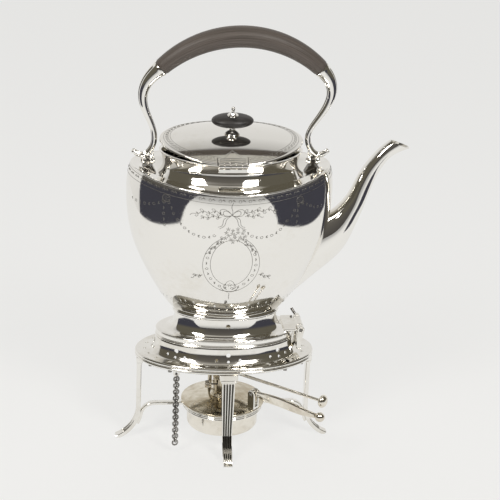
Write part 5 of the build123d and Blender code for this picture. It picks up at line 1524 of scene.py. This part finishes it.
# %% Colours round the kettle by direction
ARCH = [(0, (0.82, 0.81, 0.79)), (48, (0.74, 0.73, 0.71)), (66, (0.52, 0.51, 0.49)), (69.5, (0.13, 0.13, 0.13)),
        (72, (0.16, 0.155, 0.15)), (75.5, (0.50, 0.48, 0.43)), (128, (0.46, 0.44, 0.40)),
        (136, (0.13, 0.12, 0.105)), (180, (0.075, 0.07, 0.065))]
DARK_LOW, DARK_HIGH = (0.052, 0.052, 0.066, 1), (0.115, 0.105, 0.080, 1)


def parts_of(tree, vector):
    return add(tree, "ShaderNodeSeparateXYZ", {"Vector": vector}).outputs


def room_colour(tree, direction):
    """An arch of colours from the back over the top to the front, with dark sides, for a unit vector."""
    x, y, z = parts_of(tree, direction)
    arc = math(tree, "ARCTAN2", math(tree, "ABSOLUTE", z), y)
    over = ramp(tree, math(tree, "DIVIDE", arc, pi), [(degree / 180, colour) for degree, colour in ARCH])
    aside = stepped(tree, math(tree, "ABSOLUTE", x), 0.34, 0.50)
    turned_y = math(tree, "ADD", y, math(tree, "MULTIPLY", x, -0.1))
    aside = math(tree, "MULTIPLY", aside, stepped(tree, turned_y, 0.27, 0.30, 1.0, 0.0))
    return mix(tree, aside, over, mix(tree, stepped(tree, z, -0.05, 0.15), DARK_LOW, DARK_HIGH))


def direction_from(tree, centre):
    """The unit vector from a point to the place that is shaded."""
    away = add(tree, "ShaderNodeVectorMath", {0: object_place(tree), 1: centre}, operation="SUBTRACT")
    return add(tree, "ShaderNodeVectorMath", {0: away}, operation="NORMALIZE").outputs["Vector"]

# %% Box and sheet that only reflections show
FAR, CLOTH_Z, EYE_Z = 12.0, 0.0005, 0.15
AXIS_X = float(SHIFT[0])
room_box, tree = stage_mesh("room_box", [(x, y, z) for z in (-FAR, FAR) for y in (-FAR, FAR) for x in (-FAR, FAR)],
                            [(0, 1, 3, 2), (4, 6, 7, 5), (0, 4, 5, 1), (2, 3, 7, 6), (0, 2, 6, 4), (1, 5, 7, 3)])
only_reflected(room_box)
shine = add(tree, "ShaderNodeEmission", {"Color": room_colour(tree, direction_from(tree, (0, 0, 0)))})
add(tree, "ShaderNodeOutputMaterial", {"Surface": shine})

side_cloth, tree = stage_mesh("side_cloth", square(CLOTH_Z), [(0, 1, 2, 3)])
only_reflected(side_cloth)
x, y, _ = parts_of(tree, object_place(tree))
across = math(tree, "ABSOLUTE", math(tree, "SUBTRACT", x, AXIS_X))
from_waist = math(tree, "ADD", y, 0.30)
spread = math(tree, "MAXIMUM", math(tree, "MULTIPLY", from_waist, 0.36), math(tree, "MULTIPLY", from_waist, -0.60))
side_fade = stepped(tree, math(tree, "SUBTRACT", across, spread), 0.325, 0.345, 1.0, 0.0)
opening = math(tree, "MULTIPLY", side_fade, stepped(tree, y, 1.2, 2.2, 1.0, 0.0))
hole = add(tree, "ShaderNodeBsdfTransparent", {"Color": stepped(tree, y, -1.5, -0.25, 0.60, 1.0)})
shine = add(tree, "ShaderNodeEmission", {"Color": room_colour(tree, direction_from(tree, (AXIS_X, 0, EYE_Z)))})
add(tree, "ShaderNodeOutputMaterial", {"Surface": add(tree, "ShaderNodeMixShader", {0: opening, 1: shine, 2: hole})})
print("stage", floor.name, room_box.name, side_cloth.name)

# %% Soft lights
def soft_box(name, azimuth, height_angle=42, reach=1.5, size=(0.36, 0.48), power=7):
    """A lamp at an angle round from the front, positive towards the spout, aimed at the kettle."""
    lamp = bpy.data.lights.new(name, "AREA")
    lamp.shape, lamp.size, lamp.size_y, lamp.energy, lamp.color = "RECTANGLE", *size, power, (1.0, 0.98, 0.95)
    thing = new_object(name, lamp)
    a, h = radians(azimuth), radians(height_angle)
    away = Vector((sin(a) * cos(h), -cos(a) * cos(h), sin(h)))
    thing.visible_camera = False
    thing.location = Vector(to_frame((0, 0, 150))) + away * reach
    thing.rotation_euler = (-away).to_track_quat("-Z", "Y").to_euler()


soft_box("left_box", -42)
soft_box("right_box", 30)

# %% World
world = bpy.data.worlds.new("studio")
bpy.context.scene.world = world
world.use_nodes = True
tree = world.node_tree
tree.nodes.clear()
around_us = add(tree, "ShaderNodeTexCoord").outputs["Generated"]
room = add(tree, "ShaderNodeBackground", {"Color": room_colour(tree, around_us)})
pale = add(tree, "ShaderNodeBackground", {"Color": (PALE, PALE, PALE, 1)})
rays = add(tree, "ShaderNodeLightPath").outputs
shown = math(tree, "MAXIMUM", rays["Is Glossy Ray"], rays["Is Transmission Ray"])
shown = math(tree, "MAXIMUM", rays["Is Camera Ray"], shown)
add(tree, "ShaderNodeOutputWorld", {"Surface": add(tree, "ShaderNodeMixShader", {0: shown, 1: room, 2: pale})})
bpy.context.scene.view_settings.view_transform = "Standard"

# %% Last update
bpy.context.view_layer.update()
